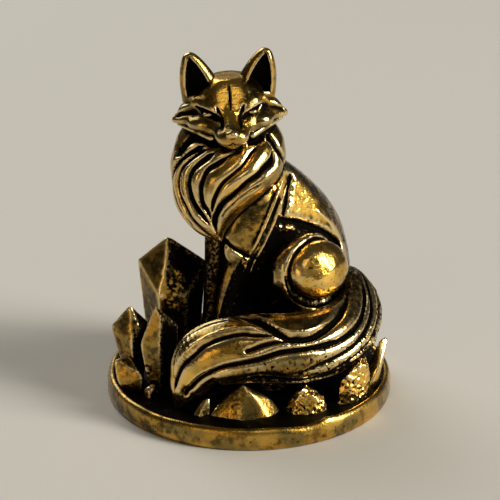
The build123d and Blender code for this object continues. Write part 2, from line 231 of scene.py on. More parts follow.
def groove_depth(u, v, scale_u, scale_v, grooves):
    """How deep the surface is cut at places u, v of a form, with their scales in millimetres.

    A groove is its half width, its depth and the places that it runs through. It has a crisp bottom and
    rounded shoulders, and runs out at both ends.
    """
    cut = np.zeros(len(u))
    for half_width, depth, *places in grooves:
        path = smooth_rows(places, GROOVE_STEPS)
        reach_u = GROOVE_REACH * half_width / scale_u
        reach_v = GROOVE_REACH * half_width / scale_v
        low_u, low_v = path.min(0)
        high_u, high_v = path.max(0)
        beside_u = (u > low_u - reach_u) & (u < high_u + reach_u)
        beside_v = (v > low_v - reach_v) & (v < high_v + reach_v)
        here = np.flatnonzero(beside_u & beside_v)
        place_u = u[here]
        place_v = v[here]
        across_u = scale_u[here]
        across_v = scale_v[here]
        nearest = np.full(len(here), np.inf)
        along = np.zeros(len(here))
        for index, (start, end) in enumerate(zip(path, path[1:])):
            run_u = (end[0] - start[0]) * across_u
            run_v = (end[1] - start[1]) * across_v
            off_u = (place_u - start[0]) * across_u
            off_v = (place_v - start[1]) * across_v
            run_square = np.maximum(run_u**2 + run_v**2, 1e-9)
            share = np.clip((off_u * run_u + off_v * run_v) / run_square, 0, 1)
            gap = np.hypot(off_u - share * run_u, off_v - share * run_v)
            closer = gap < nearest
            nearest = np.where(closer, gap, nearest)
            along = np.where(closer, (index + share) / (len(path) - 1), along)
        ends = ease(0, GROOVE_RUN_OUT, along) * ease(0, GROOVE_RUN_OUT, 1 - along)
        ends = GROOVE_END + (1 - GROOVE_END) * ends
        crisp = bell(nearest, half_width * ends)
        shoulder = bell(nearest, SHOULDER_SPREAD * half_width)
        cut[here] = np.maximum(cut[here], depth * ends * (CRISP_SHARE * crisp + SHOULDER_SHARE * shoulder))
    return cut


def photo_grooves(points, grooves):
    """How deep points are cut by grooves whose places are in the photograph."""
    pixel = np.full(len(points), PHOTO_PIXEL)
    return groove_depth(*picture(points), pixel, pixel, grooves)


# Meshing: passes of smoothing that show fine and broad hollows, middles of the blocks that hold metal, and
# the castings with the marks of their points

HOLLOW_PASSES = (10, 40)
occupied = []
castings = []


def grid_places(counts):
    """Whole-numbered places of a grid."""
    return np.stack(np.meshgrid(*(np.arange(count) for count in counts), indexing="ij"), -1).reshape(-1, 3)


def sculpt(field, low, high, voxel):
    """Points and quads of a field's surface inside a box."""
    voxel = voxel * COARSEN
    side = voxel * BLOCK
    limit = SURFACE_VOXELS * voxel
    low = np.array(low, float) - side
    blocks = np.ceil((np.array(high, float) + side - low) / side).astype(int)
    corners = low + grid_places(blocks) * side
    rough = field(corners + (side - voxel) / 2)
    values = np.where(rough < 0, -limit, limit)[:, None] * np.ones(BLOCK**3)
    inside = grid_places((BLOCK,) * 3) * voxel
    near = np.abs(rough) < NEAR_SURFACE
    exact = field((corners[near][:, None] + inside).reshape(-1, 3)).reshape(-1, BLOCK**3)
    values[near] = np.clip(exact, -limit, limit)
    occupied.append((corners + side / 2)[values.mean(1) < 0])
    values = values.reshape(*blocks, BLOCK, BLOCK, BLOCK).transpose(0, 3, 1, 4, 2, 5)
    values = np.ascontiguousarray(values.reshape(*(blocks * BLOCK)), np.float32)
    grid = openvdb.FloatGrid(limit)
    grid.copyFromArray(values, tolerance=0)
    points, quads = grid.convertToQuads(isovalue=0.0)
    return low + points.astype(float) * voxel, quads


def neighbours(count, faces):
    """Sorted pairs of points that share an edge, both ways round, and each point's number of them."""
    pairs = np.vstack([faces[:, (corner, (corner + 1) % 4)] for corner in range(4)])
    pairs = np.vstack((pairs, pairs[:, ::-1]))
    codes = np.unique(pairs[:, 0].astype(np.int64) * count + pairs[:, 1])
    starts = codes // count
    ends = codes % count
    return starts, ends, np.maximum(np.bincount(starts, minlength=count), 1)


def point_normals(points, faces):
    """Unit normals of the points, from the quads round them."""
    corners = points[faces]
    across = np.cross(corners[:, 2] - corners[:, 0], corners[:, 3] - corners[:, 1])
    total = np.zeros_like(points)
    for corner in range(4):
        for axis in range(3):
            total[:, axis] += np.bincount(faces[:, corner], across[:, axis], len(points))
    return total / np.maximum(np.linalg.norm(total, axis=1), 1e-9)[:, None]


def hollows(points, faces, normals, *passes):
    """How far each point lies below copies of its surface, each smoothed further than the last."""
    starts, ends, counts = neighbours(len(points), faces)
    smoothed = points.copy()
    depths = []
    for count in passes:
        for _ in range(count):
            sums = [np.bincount(starts, smoothed[ends, axis], len(points)) for axis in range(3)]
            smoothed = np.stack(sums, -1) / counts[:, None]
        depths.append(((smoothed - points) * normals).sum(1))
    return depths


def put(name, data):
    """Object in the scene for a mesh, a lamp or a camera."""
    thing = bpy.data.objects.new(name, data)
    bpy.context.scene.collection.objects.link(thing)
    return thing


def cast(node, slot, points, faces, tarnish_and_light, passes=HOLLOW_PASSES, shaded=1.0):
    """Casting that stands for a node.

    Its points are kept with how hollow they are after each number of smoothing passes, their tarnish with the
    painted light and shade in it, and how much the metal round them shades them.
    """
    normals = point_normals(points, faces)
    fine, broad = hollows(points, faces, normals, *passes)
    mesh = bpy.data.meshes.new(node + "_casting")
    mesh.vertices.add(len(points))
    mesh.vertices.foreach_set("co", (points * MM).astype(np.float32).ravel())
    mesh.loops.add(faces.size)
    mesh.loops.foreach_set("vertex_index", faces.astype(np.int32).ravel())
    mesh.polygons.add(len(faces))
    mesh.polygons.foreach_set("loop_start", np.arange(len(faces), dtype=np.int32) * 4)
    mesh.update(calc_edges=True)
    mesh.validate()
    mesh.shade_smooth()
    piece = put(node + "_casting", mesh)
    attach(piece, "root")
    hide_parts(node)
    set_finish(piece, slot)
    castings.append((piece, points, normals, fine, broad, tarnish_and_light * np.ones(len(points)), shaded))
    return piece


def solid_box(node):
    """Corners of the box round a node's solid, in millimetres."""
    return (np.array(corner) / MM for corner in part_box(node))


# Plinth: a turned disc with a rolled rim round a dished floor. Its profile is radius and height, and the dent
# and the lump of its rim are bearing, half width and height

RIM_PROFILE = (
    (17.3, 0.0), (17.58, 0.12), (17.7, 0.4), (17.7, 0.9), (17.7, 1.4), (17.68, 1.9), (17.58, 2.35),
    (17.38, 2.66), (17.12, 2.78), (16.92, 2.72), (16.8, 2.55), (16.7, 2.3), (16.6, 2.12), (16.3, 2.02),
)
PLINTH_TURNS = 240
UNDERSIDE_RINGS = 12
UNDERSIDE_RADIUS = 17.0
FLOOR_RINGS = 32
FLOOR_RADIUS = 16.0
MIDDLE_RADIUS = 0.4
RIM_DENT = (-68, 7, -0.35)
RIM_LUMP = (-57, 3.5, 0.22)
RIM_WEAR = 0.08
RIM_STEPS = 3
PLINTH_PASSES = (2, 6)


def plinth():
    """Turned disc: an underside, a rim with a dent and a lump at the front right, and a rough floor."""
    underside = [(radius, 0.0) for radius in np.linspace(MIDDLE_RADIUS, UNDERSIDE_RADIUS, UNDERSIDE_RINGS)]
    floor = [(radius, FLOOR) for radius in np.linspace(FLOOR_RADIUS, MIDDLE_RADIUS, FLOOR_RINGS)]
    profile = np.vstack((underside, smooth_rows(RIM_PROFILE, RIM_STEPS), floor))
    count = len(profile)
    turns = np.linspace(0, 2 * np.pi, PLINTH_TURNS, endpoint=False)[:, None]
    radius = profile[:, 0] * np.ones((PLINTH_TURNS, 1))
    height = profile[:, 1] * np.ones((PLINTH_TURNS, 1))
    points = np.stack((radius * np.cos(turns), radius * np.sin(turns), height), -1).reshape(-1, 3)
    degrees = np.degrees(np.arctan2(points[:, 1], points[:, 0]))
    from_axis = np.hypot(points[:, 0], points[:, 1])
    upper = ease(1.2, 2.6, points[:, 2])
    on_rim = ease(16.2, 16.9, from_axis)
    for bearing, half_width, size in (RIM_DENT, RIM_LUMP):
        points[:, 2] += size * upper * on_rim * bell(degrees - bearing, half_width)
    wobble = noise(points, 6.0, 3) * 0.10 + noise(points, 2.2, 4) * 0.05
    points[:, 2] += wobble * upper * on_rim - RIM_WEAR * upper * on_rim
    on_floor = (points[:, 2] > 1.5) * (1 - ease(16.2, 16.8, from_axis))
    points[:, 2] += on_floor * (noise(points, 1.6, 5) * 0.12 + noise(points, 0.6, 6) * 0.08)
    ring = np.arange(PLINTH_TURNS) * count
    after = np.roll(ring, -1)
    faces = []
    for step in range(count - 1):
        faces.append(np.stack((ring + step, after + step, after + step + 1, ring + step + 1), -1))
    gilt_and_highlight = on_rim * (0.1 + 0.35 * ease(-0.1, 0.3, noise(points, 2.4, 2)))
    # Painted shade: the rim is darker towards its left, where shade falls on it
    left_rim_shade = 0.22 * on_rim * ease(-6, -15, points[:, 0])
    tarnish_and_light = on_floor - gilt_and_highlight + left_rim_shade
    disc = cast("base_plate", "plinth_brass", points, np.vstack(faces), tarnish_and_light, PLINTH_PASSES)
    form = bmesh.new()
    form.from_mesh(disc.data)
    bmesh.ops.holes_fill(form, edges=[edge for edge in form.edges if edge.is_boundary])
    form.to_mesh(disc.data)
    form.free()


# Ruff: a hanging oval form, carved into locks. Rows are drop below the head's centre, shifts along X and Y,
# and half widths along X and Y

RUFF_ROWS = (
    (0.8, 0.1, 1.5, 4.3, 3.6),
    (3.4, 0.05, 0.9, 6.1, 4.7),
    (4.8, 0.0, 0.3, 6.6, 5.4),
    (6.4, -0.15, -0.3, 6.9, 5.9),
    (8.0, -0.55, -0.8, 6.6, 5.7),
    (9.8, -1.3, -1.4, 5.6, 5.0),
    (12.0, -2.3, -2.4, 3.8, 3.7),
    (14.2, -2.2, -3.5, 1.8, 1.7),
    (15.4, -1.1, -3.9, 0.3, 0.4),
)

# Grooves of the ruff: half width, depth, then places as drop and bearing in degrees from the front
RUFF_GROOVES = (
    (0.52, 1.10, (3.6, -8), (3.2, -24), (3.0, -41), (3.6, -58), (4.7, -68), (5.8, -76)),
    (0.36, 0.90, (3.5, -26), (4.5, -46), (5.6, -62), (7.0, -74), (8.3, -84), (9.6, -94)),
    (
        0.26, 0.80, (3.8, -20), (4.4, -35), (5.4, -48), (6.5, -57), (8.0, -60), (9.6, -57), (11.0, -46),
        (12.8, -31), (14.6, 0),
    ),
    (0.10, 0.28, (5.9, -51), (7.0, -53), (8.2, -52), (9.6, -47)),
    (
        0.30, 0.85, (4.0, -13), (4.9, -26), (6.1, -39), (7.5, -43), (8.8, -40), (10.2, -32), (11.6, -14),
        (13.2, 9),
    ),
    (
        0.26, 0.80, (4.0, 7), (5.2, -10), (6.0, -22), (7.2, -26), (8.5, -26), (10.0, -20), (11.1, -7),
        (12.6, 9),
    ),
    (0.22, 0.70, (3.4, 37), (4.5, 25), (5.5, 16), (6.3, 6), (7.4, -4), (8.9, -7), (10.3, -5), (11.9, 4)),
    (
        0.40, 1.00, (3.6, 57), (5.4, 52), (6.1, 41), (6.8, 33), (7.5, 23), (8.8, 14), (9.9, 7), (11.1, 8),
        (12.4, 13), (14.2, 27),
    ),
    (0.14, 0.40, (7.5, 44), (8.6, 27), (9.6, 21), (10.8, 18), (12.3, 23)),
    (0.34, 0.85, (2.8, 50), (3.4, 55), (4.4, 63), (5.8, 77), (7.2, 92)),
    (0.30, 0.60, (3.2, 20), (3.4, 32), (3.0, 46)),
    (0.18, 0.45, (7.4, -70), (9.2, -74), (11.4, -64), (13.4, -44)),
    (0.20, 0.55, (3.0, 112), (6.0, 118), (9.5, 96)),
    (0.24, 0.60, (2.4, 140), (5.5, 146), (9.0, 128)),
    (0.22, 0.60, (2.0, 168), (5.0, 176), (8.5, 160)),
    (0.24, 0.60, (2.0, -162), (5.0, -150), (8.5, -148)),
    (0.22, 0.60, (2.2, -132), (5.0, -122), (9.0, -126)),
    (0.24, 0.60, (2.6, -104), (5.5, -108), (9.0, -116)),
)

# Drops of the ruff's top and tip; bearing of the painted highlight down its front and the height that it
# starts from
RUFF_ENDS = (0.8, 15.3)
RUFF_HIGHLIGHT_BEARING = 12
RUFF_HIGHLIGHT_FOOT = 26
RUFF_BOX = ((-9.7, -8.0, 21.5), (5.0, 6.3, 36.4))
RUFF_VOXEL = 0.14

# Step down over which the slope of an upright form is measured
STEP_DOWN = 0.05


def ruff_form(points, drawn):
    """Hanging oval form: distance, drop, bearing and mean half width."""
    drop = HEAD_CENTRE[2] - points[:, 2]
    shift_x, shift_y, half_x, half_y = columns(drawn, drop)
    x = points[:, 0] - HEAD_CENTRE[0] - shift_x
    y = points[:, 1] - HEAD_CENTRE[1] - shift_y
    bearing = np.degrees(np.arctan2(x / half_x, -y / half_y))
    return oval(x, y, half_x, half_y), drop, bearing, (half_x + half_y) / 2


def ruff_layers(points):
    """Ruff before its locks are cut, and how deep they are cut."""
    drawn = smooth_rows(RUFF_ROWS)
    distance, drop, bearing, half_width = ruff_form(points, drawn)
    below = ruff_form(points - (0, 0, STEP_DOWN), drawn)[0]
    slope = (below - distance) / STEP_DOWN
    distance = distance / np.sqrt(1 + slope**2)
    stretch = np.sqrt(1 + np.minimum(slope**2, 4))
    per_degree = half_width * math.pi / 180
    carved = groove_depth(drop, bearing, stretch, per_degree, RUFF_GROOVES)
    top, tip = RUFF_ENDS
    distance = np.maximum(distance, np.maximum(top - drop, drop - tip))
    return distance, carved * ease(0.2, 1.6, half_width)


def ruff_field(points):
    """Ruff with its locks."""
    distance, carved = ruff_layers(points)
    return distance + carved


def chest_ruff():
    """Mane of S-curved locks that come together at a tip, painted shade under the chin, painted highlight
    down its front.
    """
    points, faces = sculpt(ruff_field, *RUFF_BOX, RUFF_VOXEL)
    bearing = ruff_form(points, smooth_rows(RUFF_ROWS))[2]
    carved = ease(0.2, 0.7, ruff_layers(points)[1])
    # Painted shade under the chin, where the head shades the top of the ruff
    seat_shade = ease(1.2, 0.3, head_field(points)) * ease(100, 70, np.abs(bearing))
    # Painted highlight down the front of the ruff
    height = points[:, 2] - RUFF_HIGHLIGHT_FOOT
    gilt_and_highlight = ease(34, 10, np.abs(bearing - RUFF_HIGHLIGHT_BEARING)) * ease(1.0, 3.0, height) * ease(8.5, 6.0, height)
    cast("chest_ruff", "fox_brass", points, faces, np.maximum(carved, seat_shade) - 0.8 * gilt_and_highlight)


# Brush: centre x, centre y, height of the centre, half height, half width

TAIL_ROWS = (
    (9.0, 6.6, 11.4, 2.8, 2.6),
    (12.2, 3.4, 10.6, 4.0, 3.5),
    (12.8, -1.2, 9.5, 4.2, 3.6),
    (10.4, -5.8, 9.1, 4.3, 3.7),
    (5.6, -9.0, 9.3, 4.4, 3.8),
    (0.0, -10.2, 9.8, 4.2, 3.7),
    (-5.0, -10.3, 8.7, 3.8, 3.4),
    (-7.2, -10.5, 5.4, 2.5, 2.1),
    (-8.0, -10.7, 3.6, 1.35, 1.2),
    (-8.5, -10.8, 2.0, 0.35, 0.35),
)
TAIL_STEPS = 14

# Grooves of the brush: half width, depth, then places as stations along the rows and angle round the section,
# where 90 is its top and 180 its outer side
TAIL_GROOVES = (
    (
        0.24, 0.75, (7.6, 112), (7.1, 121), (6.5, 132), (6.1, 142), (5.8, 137), (5.2, 129), (4.9, 134),
        (4.5, 137),
    ),
    (
        0.40, 0.90, (5.2, 80), (4.9, 98), (4.7, 117), (4.4, 139), (4.2, 143), (3.85, 142), (3.2, 116),
        (2.8, 98), (2.2, 82),
    ),
    (0.22, 0.60, (5.15, 162), (5.0, 160), (4.7, 151), (4.5, 147), (4.1, 142)),
    (
        0.28, 0.80, (7.7, 165), (7.3, 171), (6.7, 182), (6.1, 192), (5.5, 187), (4.9, 180), (4.4, 164),
        (3.75, 159), (3.2, 150),
    ),
    (0.30, 0.70, (4.1, 166), (3.4, 158), (2.8, 143), (2.2, 122), (1.4, 104)),
    (0.30, 0.70, (4.2, 204), (3.5, 188), (3.0, 174), (2.4, 150), (1.8, 128), (1.0, 112)),
    (0.28, 0.60, (3.6, 212), (3.0, 198), (2.5, 182), (1.9, 158), (1.2, 140), (0.6, 134)),
    (0.10, 0.30, (7.0, 96), (6.5, 88), (6.1, 88), (5.8, 80), (5.1, 78), (4.2, 78), (3.4, 78), (2.6, 74)),
    (0.10, 0.30, (7.2, 106), (6.7, 108), (6.3, 100), (5.9, 92), (5.1, 90)),
    (0.30, 0.60, (5.4, 222), (4.6, 218), (3.8, 228), (3.0, 214), (2.0, 196), (1.0, 186)),
    (0.30, 0.60, (6.6, 60), (5.6, 48), (4.6, 52), (3.6, 44), (2.6, 46), (1.4, 60), (0.5, 70)),
    (0.30, 0.60, (6.8, 20), (5.6, 12), (4.6, 18), (3.6, 8), (2.6, 10), (1.4, 24), (0.5, 34)),
    (0.30, 0.60, (6.8, -20), (5.6, -26), (4.4, -18), (3.4, -28), (2.2, -20), (1.0, -10)),
    (0.30, 0.60, (6.0, -60), (4.8, -58), (3.6, -68), (2.4, -64), (1.0, -60)),
    (0.30, 0.60, (5.6, -104), (4.4, -100), (3.2, -112), (2.0, -108), (0.8, -110)),
)

# Crests raised beside the grooves, and the edge below which the brush is painted dark as shade, as stations
# and angles
TAIL_CRESTS = (
    (0.14, 0.22, (7.0, 108), (6.4, 120), (6.1, 126), (5.8, 125), (5.4, 119), (5.0, 119), (4.75, 125)),
    (0.14, 0.20, (5.0, 78), (4.8, 92), (4.65, 106), (4.5, 122), (4.2, 130), (3.8, 128), (3.3, 108)),
    (0.14, 0.18, (5.0, 152), (4.7, 143), (4.5, 140)),
    (0.14, 0.18, (7.2, 158), (6.6, 170), (6.0, 180), (5.5, 177), (4.9, 170), (4.4, 157)),
)
UNDER_SHADE_EDGE = ((0, 206), (3, 206), (5.2, 199), (5.6, 202), (6.4, 210), (6.9, 197), (7.9, 189), (8.7, 170))

# Length of a station, lowest angle of a section, angles of its side with the painted highlight and its dull
# top, how far the brush sinks into the floor, and how far it goes on past its first and last rows
STATION_LENGTH = 5.2
LOWEST_ANGLE = -130
TAIL_HIGHLIGHT_ANGLE = 160
TAIL_TOP_ANGLE = 80
TAIL_SINK = 0.15
TAIL_END = 0.1
TAIL_BOX = ((-10.8, -14.8, 1.8), (17.2, 9.8, 15.2))
TAIL_VOXEL = 0.16


def nearest_row(points, rows, batch=100000):
    """Index of the row nearest to each point."""
    half_square = (rows**2).sum(1) / 2
    starts = range(0, len(points), batch)
    indices = [np.argmin(half_square - points[start : start + batch] @ rows.T, 1) for start in starts]
    return np.concatenate(indices)


def tail_place(points):
    """Where points are round the brush: distance from its oval form, station, angle and mean half width."""
    drawn = smooth_rows(TAIL_ROWS, TAIL_STEPS)
    middles = drawn[:, :3]
    headings = np.gradient(middles, axis=0)
    strides = np.linalg.norm(headings, axis=1)
    headings /= strides[:, None]
    inward = np.cross(headings, (0, 0, 1.0))
    inward /= np.linalg.norm(inward, axis=1)[:, None]
    upward = np.cross(inward, headings)
    index = nearest_row(points, middles)
    offset = points - middles[index]
    ahead = (offset * headings[index]).sum(1)
    station = np.clip(index + ahead / strides[index], 0, len(drawn) - 1)
    whole = np.minimum(station.astype(int), len(drawn) - 2)
    part = (station - whole)[:, None]

    def between(table):
        return table[whole] * (1 - part) + table[whole + 1] * part

    offset = points - between(middles)
    across = (offset * between(inward)).sum(1)
    above = (offset * between(upward)).sum(1)
    ahead = (offset * between(headings)).sum(1)
    half_height, half_width = between(drawn[:, 3:5]).T
    distance = oval(across, above, half_width, half_height)
    at_end = (station <= 0) | (station >= len(drawn) - 1)
    distance = np.where(at_end, np.maximum(distance, np.abs(ahead) - TAIL_END), distance)
    angle = np.degrees(np.arctan2(above / half_height, across / half_width))
    angle = np.where(angle < LOWEST_ANGLE, angle + 360, angle)
    return distance, station / TAIL_STEPS, angle, (half_height + half_width) / 2


def tail_layers(points):
    """Brush before its locks are cut, how deep they are, how rough its root is and how much painted shade its
    underside gets.
    """
    distance, station, angle, half_width = tail_place(points)
    per_station = np.full(len(points), STATION_LENGTH)
    per_degree = half_width * math.pi / 180
    carved = groove_depth(station, angle, per_station, per_degree, TAIL_GROOVES)
    raised = groove_depth(station, angle, per_station, per_degree, TAIL_CRESTS)
    rough = ease(3.7, 1.9, station)
    edge = np.interp(station, *np.array(UNDER_SHADE_EDGE).T)
    # Painted shade under the brush, below the edge and at the lowest angles
    underside_shade = np.maximum(ease(-2, 8, angle - edge), ease(-10, -40, angle))
    distance = np.maximum(distance - raised, FLOOR - TAIL_SINK - points[:, 2])
    return distance, carved * ease(0.2, 1.2, half_width), rough, underside_shade


def tail_field(points):
    """Brush with its locks, resting on the floor of the plinth."""
    distance, carved, rough, _ = tail_layers(points)
    return distance + carved + (0.012 + 0.04 * rough) * noise(points, 0.36, 19)


def tail():
    """Brush of twisted locks, swept round the front: painted highlight outside, painted light at its tip,
    dull on top, painted shade below.
    """
    points, faces = sculpt(tail_field, *TAIL_BOX, TAIL_VOXEL)
    _, carved, rough, underside_shade = tail_layers(points)
    _, station, angle, _ = tail_place(points)
    # Painted highlight on the outer side of the middle locks
    gilt_and_highlight = ease(26, 8, np.abs(angle - TAIL_HIGHLIGHT_ANGLE)) * ease(3.6, 4.6, station) * ease(7.2, 6.0, station)
    # Painted light at the tip, which the floor shades
    tip = ease(6.2, 7.0, station) * ease(0.4, 0.1, carved) * (1 - underside_shade)
    top = ease(55, 30, np.abs(angle - TAIL_TOP_ANGLE))
    # Painted light at the very end of the tip
    end = ease(7.4, 8.2, station) * (1 - underside_shade)
    specked = ease(0.05, 0.4, noise(points, 0.3, 21)) * ease(5.6, 4.6, station) * ease(135, 160, angle)
    tarnish_and_light = ease(0.2, 0.7, carved) + 0.4 * rough + 0.7 * underside_shade + 0.16 * top + 0.8 * specked
    cast("tail", "fox_brass", points, faces, tarnish_and_light - 0.4 * gilt_and_highlight - 1.5 * tip - 0.9 * end)


# Torso: height, shift along the spine from the body's centre, half length along the spine, half width

TORSO_ROWS = (
    (2.0, 2.1, 6.4, 5.6),
    (6.0, 2.2, 7.2, 6.4),
    (12.0, 1.7, 7.3, 6.2),
    (18.0, 0.4, 8.0, 5.5),
    (23.0, -1.6, 7.6, 4.8),
    (28.0, -4.7, 5.9, 4.2),
    (32.0, -7.6, 3.4, 3.0),
)

# Flat patch on the flank, as the way it faces and its distance from the origin; the hollow below it; the web
# of metal between the forelegs
FLANK_FACING = direction(0.66, -0.715, 0.23)
FLANK_REACH = 10.8
BELLY_HOLLOW = (
    (8.6, -1.6, 21.5, 0.4),
    (6.4, -2.9, 22.2, 0.9),
    (4.2, -4.0, 21.3, 1.1),
    (2.7, -4.1, 17.6, 1.2),
    (1.4, -3.2, 13.0, 1.3),
)
BELLY_WEB = (
    ((-3.4, -2.9, 1.9, 1.3), (-2.6, -2.6, 10.0, 1.4), (-1.6, -2.2, 18.0, 1.8), (-0.8, -1.8, 24.0, 2.2)),
    ((-1.4, -1.9, 1.9, 1.5), (-1.0, -1.7, 10.0, 1.6), (-0.4, -1.5, 17.0, 1.8)),
)

# In the photograph: grooves of the flank as half width, depth and places, the ridge down its rear edge as the
# same, the oval of brass specks in the hollow below it, and the line below which it is painted dark as shade
FLANK_GROOVES = (
    (0.42, 0.90, (272, 216), (284, 221), (296, 223), (310, 227), (323, 233), (333, 241), (341, 252)),
    (0.20, 0.60, (291, 171), (287, 188), (285, 204), (282, 220)),
)
FLANK_RIDGE = ((0.2, 0.2, (314, 207), (324, 216), (332, 224), (339, 237), (344, 252), (346, 264)),)
BELLY_SPECKS = (286, 226, 11, 7)
FLANK_FOOT = ((230, 210), (276, 217), (296, 222), (312, 227), (325, 234), (336, 244), (346, 260), (380, 300))

# Height of the torso; its tarnish away from its painted reflection, and the level above which a place is
# black
TORSO_TOP = 31.9
TORSO_TARNISH = 0.45
BLACK_ABOVE = 0.46
TORSO_BOX = ((-5.7, -5.2, 1.9), (13.4, 12.4, 32.2))
TORSO_VOXEL = 0.2


def body_frame(points, side):
    """Points along the spine, out to one side and up."""
    x = points[:, 0] - BODY_CENTRE[0]
    y = points[:, 1] - BODY_CENTRE[1]
    along = x * SPINE[0] + y * SPINE[1]
    out = side * (x * LEFTWARDS[0] + y * LEFTWARDS[1])
    return np.stack((along, out, points[:, 2]), -1)


def onto_left(points):
    """Points with the body's right side folded onto its left."""
    along, out, height = body_frame(points, 1).T
    folded = np.outer(along, SPINE) + np.outer(np.abs(out), LEFTWARDS) + (*BODY_CENTRE, 0)
    folded[:, 2] = height
    return folded


def torso_form(points, drawn):
    """Upright oval form along the spine."""
    along, out, height = body_frame(points, 1).T
    shift, half_length, half_width = columns(drawn, height)
    return oval(along - shift, out, half_length, half_width)


def torso_field(points):
    """Torso with a flat, pitted patch on its flank and a hollow in front of its haunch."""
    drawn = smooth_rows(TORSO_ROWS)
    distance = torso_form(points, drawn)
    slope = (torso_form(points - (0, 0, STEP_DOWN), drawn) - distance) / STEP_DOWN
    distance = distance / np.sqrt(1 + slope**2)
    folded = onto_left(points)
    patch = folded @ FLANK_FACING - FLANK_REACH
    pitted = ease(-0.2, 0.1, patch - distance)
    distance = blend_common(distance, patch, 0.2)
    distance = distance + 0.02 * noise(points, 0.8, 12) + 0.07 * pitted * noise(points, 0.34, 11)
    distance = distance + photo_grooves(folded, FLANK_GROOVES)
    distance = distance - photo_grooves(folded, FLANK_RIDGE)
    distance = blend_cut(distance, strand(folded, *BELLY_HOLLOW), 0.35)
    for web in BELLY_WEB:
        distance = blend_union(distance, strand(points, *web), 0.8)
    return np.maximum(distance, np.maximum(FLOOR - points[:, 2], points[:, 2] - TORSO_TOP))


def torso():
    """Body from the haunches to the neck: painted reflection on its flat patch, painted highlight on its
    ridge, painted shade under the flank.
    """
    points, faces = sculpt(torso_field, *TORSO_BOX, TORSO_VOXEL)
    folded = onto_left(points)
    across, down = picture(folded)
    along = body_frame(points, 1)[:, 0]
    # Painted shade under the flank, in front of the haunch
    below = ease(-1, 5, down - np.interp(across, *np.array(FLANK_FOOT).T)) * ease(6.0, 3.0, along)
    grooves = ease(0.15, 0.6, photo_grooves(folded, FLANK_GROOVES))
    ridge = ease(0.03, 0.12, photo_grooves(folded, FLANK_RIDGE))
    patch = folded @ FLANK_FACING - FLANK_REACH
    # Painted reflection on the flat patch of the flank
    gilt_and_highlight = ease(-0.25, -0.02, patch) * (1 - below)
    # Painted shade where the ruff hangs over the body
    seat_shade = ease(0.6, 0.1, ruff_field(points))
    dark = np.maximum.reduce((TORSO_TARNISH * (1 - gilt_and_highlight), below, grooves, seat_shade))
    # Painted reflection on the patch and painted highlight on the ridge, left off the places that are black
    painted_highlight = np.maximum(0.8 * gilt_and_highlight, 0.4 * ridge)
    tarnish_and_light = np.where(dark > BLACK_ABOVE, dark, dark - painted_highlight)
    specks = in_oval(across, down, BELLY_SPECKS) * ease(0.15, 0.4, noise(points, 0.25, 9))
    cast("torso", "fox_brass", points, faces, tarnish_and_light - 2.1 * specks)


# Forelegs: height, centre x, centre y, half widths along X and Y

LEFT_FORELEG_ROWS = (
    (2.0, -3.7, -5.2, 1.4, 1.8),
    (4.2, -3.6, -4.9, 1.2, 1.4),
    (8.0, -3.6, -4.6, 1.0, 1.1),
    (14.0, -2.75, -4.3, 1.0, 1.1),
    (17.5, -1.75, -4.0, 1.2, 1.4),
    (19.5, -0.9, -3.8, 1.4, 1.6),
    (21.5, -0.3, -3.5, 1.6, 1.7),
    (24.0, 0.7, -3.2, 1.8, 1.8),
    (26.6, 1.8, -2.7, 1.6, 1.6),
    (28.6, 2.6, -1.9, 0.8, 0.8),
)
RIGHT_FORELEG_ROWS = (
    (2.0, -6.3, -2.9, 1.4, 1.8),
    (4.2, -5.9, -2.6, 1.2, 1.3),
    (10.0, -4.8, -2.3, 1.0, 1.1),
    (18.0, -4.2, -2.0, 1.2, 1.3),
    (22.0, -3.8, -1.6, 1.4, 1.5),
    (26.0, -2.4, -0.6, 1.2, 1.2),
)

# Flat blade of the shoulder, as its middle, its axes and its half sizes along them; ropes of fur down its
# rear edge; the tuft at the elbow
BLADE_CENTRE = np.array((0.4, -4.0, 23.4))
BLADE_FACING = direction(0.22, -0.96, 0.10)
BLADE_SIDE = direction(*np.cross(BLADE_FACING, (0.45, 0.15, 0.88)))
BLADE_AXES = np.array((BLADE_FACING, BLADE_SIDE, np.cross(BLADE_SIDE, BLADE_FACING)))
BLADE_SIZE = (1.25, 2.7, 5.6)
FUR_ROPES = (
    (
        (4.0, -2.9, 28.6, 0.12), (3.7, -3.4, 27.8, 0.18), (3.1, -4.2, 26.5, 0.22), (2.2, -4.8, 24.3, 0.24),
        (1.0, -5.3, 21.6, 0.22), (-0.1, -5.2, 19.4, 0.2), (-0.6, -5.0, 17.6, 0.1),
    ),
    (
        (4.5, -2.7, 27.8, 0.1), (4.2, -3.2, 27.0, 0.16), (3.7, -3.9, 25.7, 0.2), (2.8, -4.4, 23.2, 0.2),
        (1.6, -4.7, 20.6, 0.18), (0.6, -4.6, 18.6, 0.16), (0.1, -4.4, 17.0, 0.08),
    ),
)
ELBOW_TUFT = ((-0.9, -4.9, 21.8, 0.5), (-1.7, -5.2, 20.7, 0.4), (-2.4, -5.2, 19.5, 0.12))

# In the photograph: the groove under the elbow, the oval of brass specks below it, and the edge of the lower
# leg's front, behind which it is painted dark as shade, as rows of down and across
ELBOW_GROOVE = ((0.22, 0.6, (224, 238), (231, 246), (240, 252), (252, 258)),)
ELBOW_SPECKS = (249, 264, 7, 13)
SHIN_EDGE = ((246, 252), (258, 240), (272, 231), (287, 225), (311, 218), (340, 213))

# Gaps between the toes, with the depth and half width of their cuts
TOE_GAPS = (-0.55, 0.0, 0.55)
TOE_DEPTH = 0.22
TOE_HALF_WIDTH = 0.12

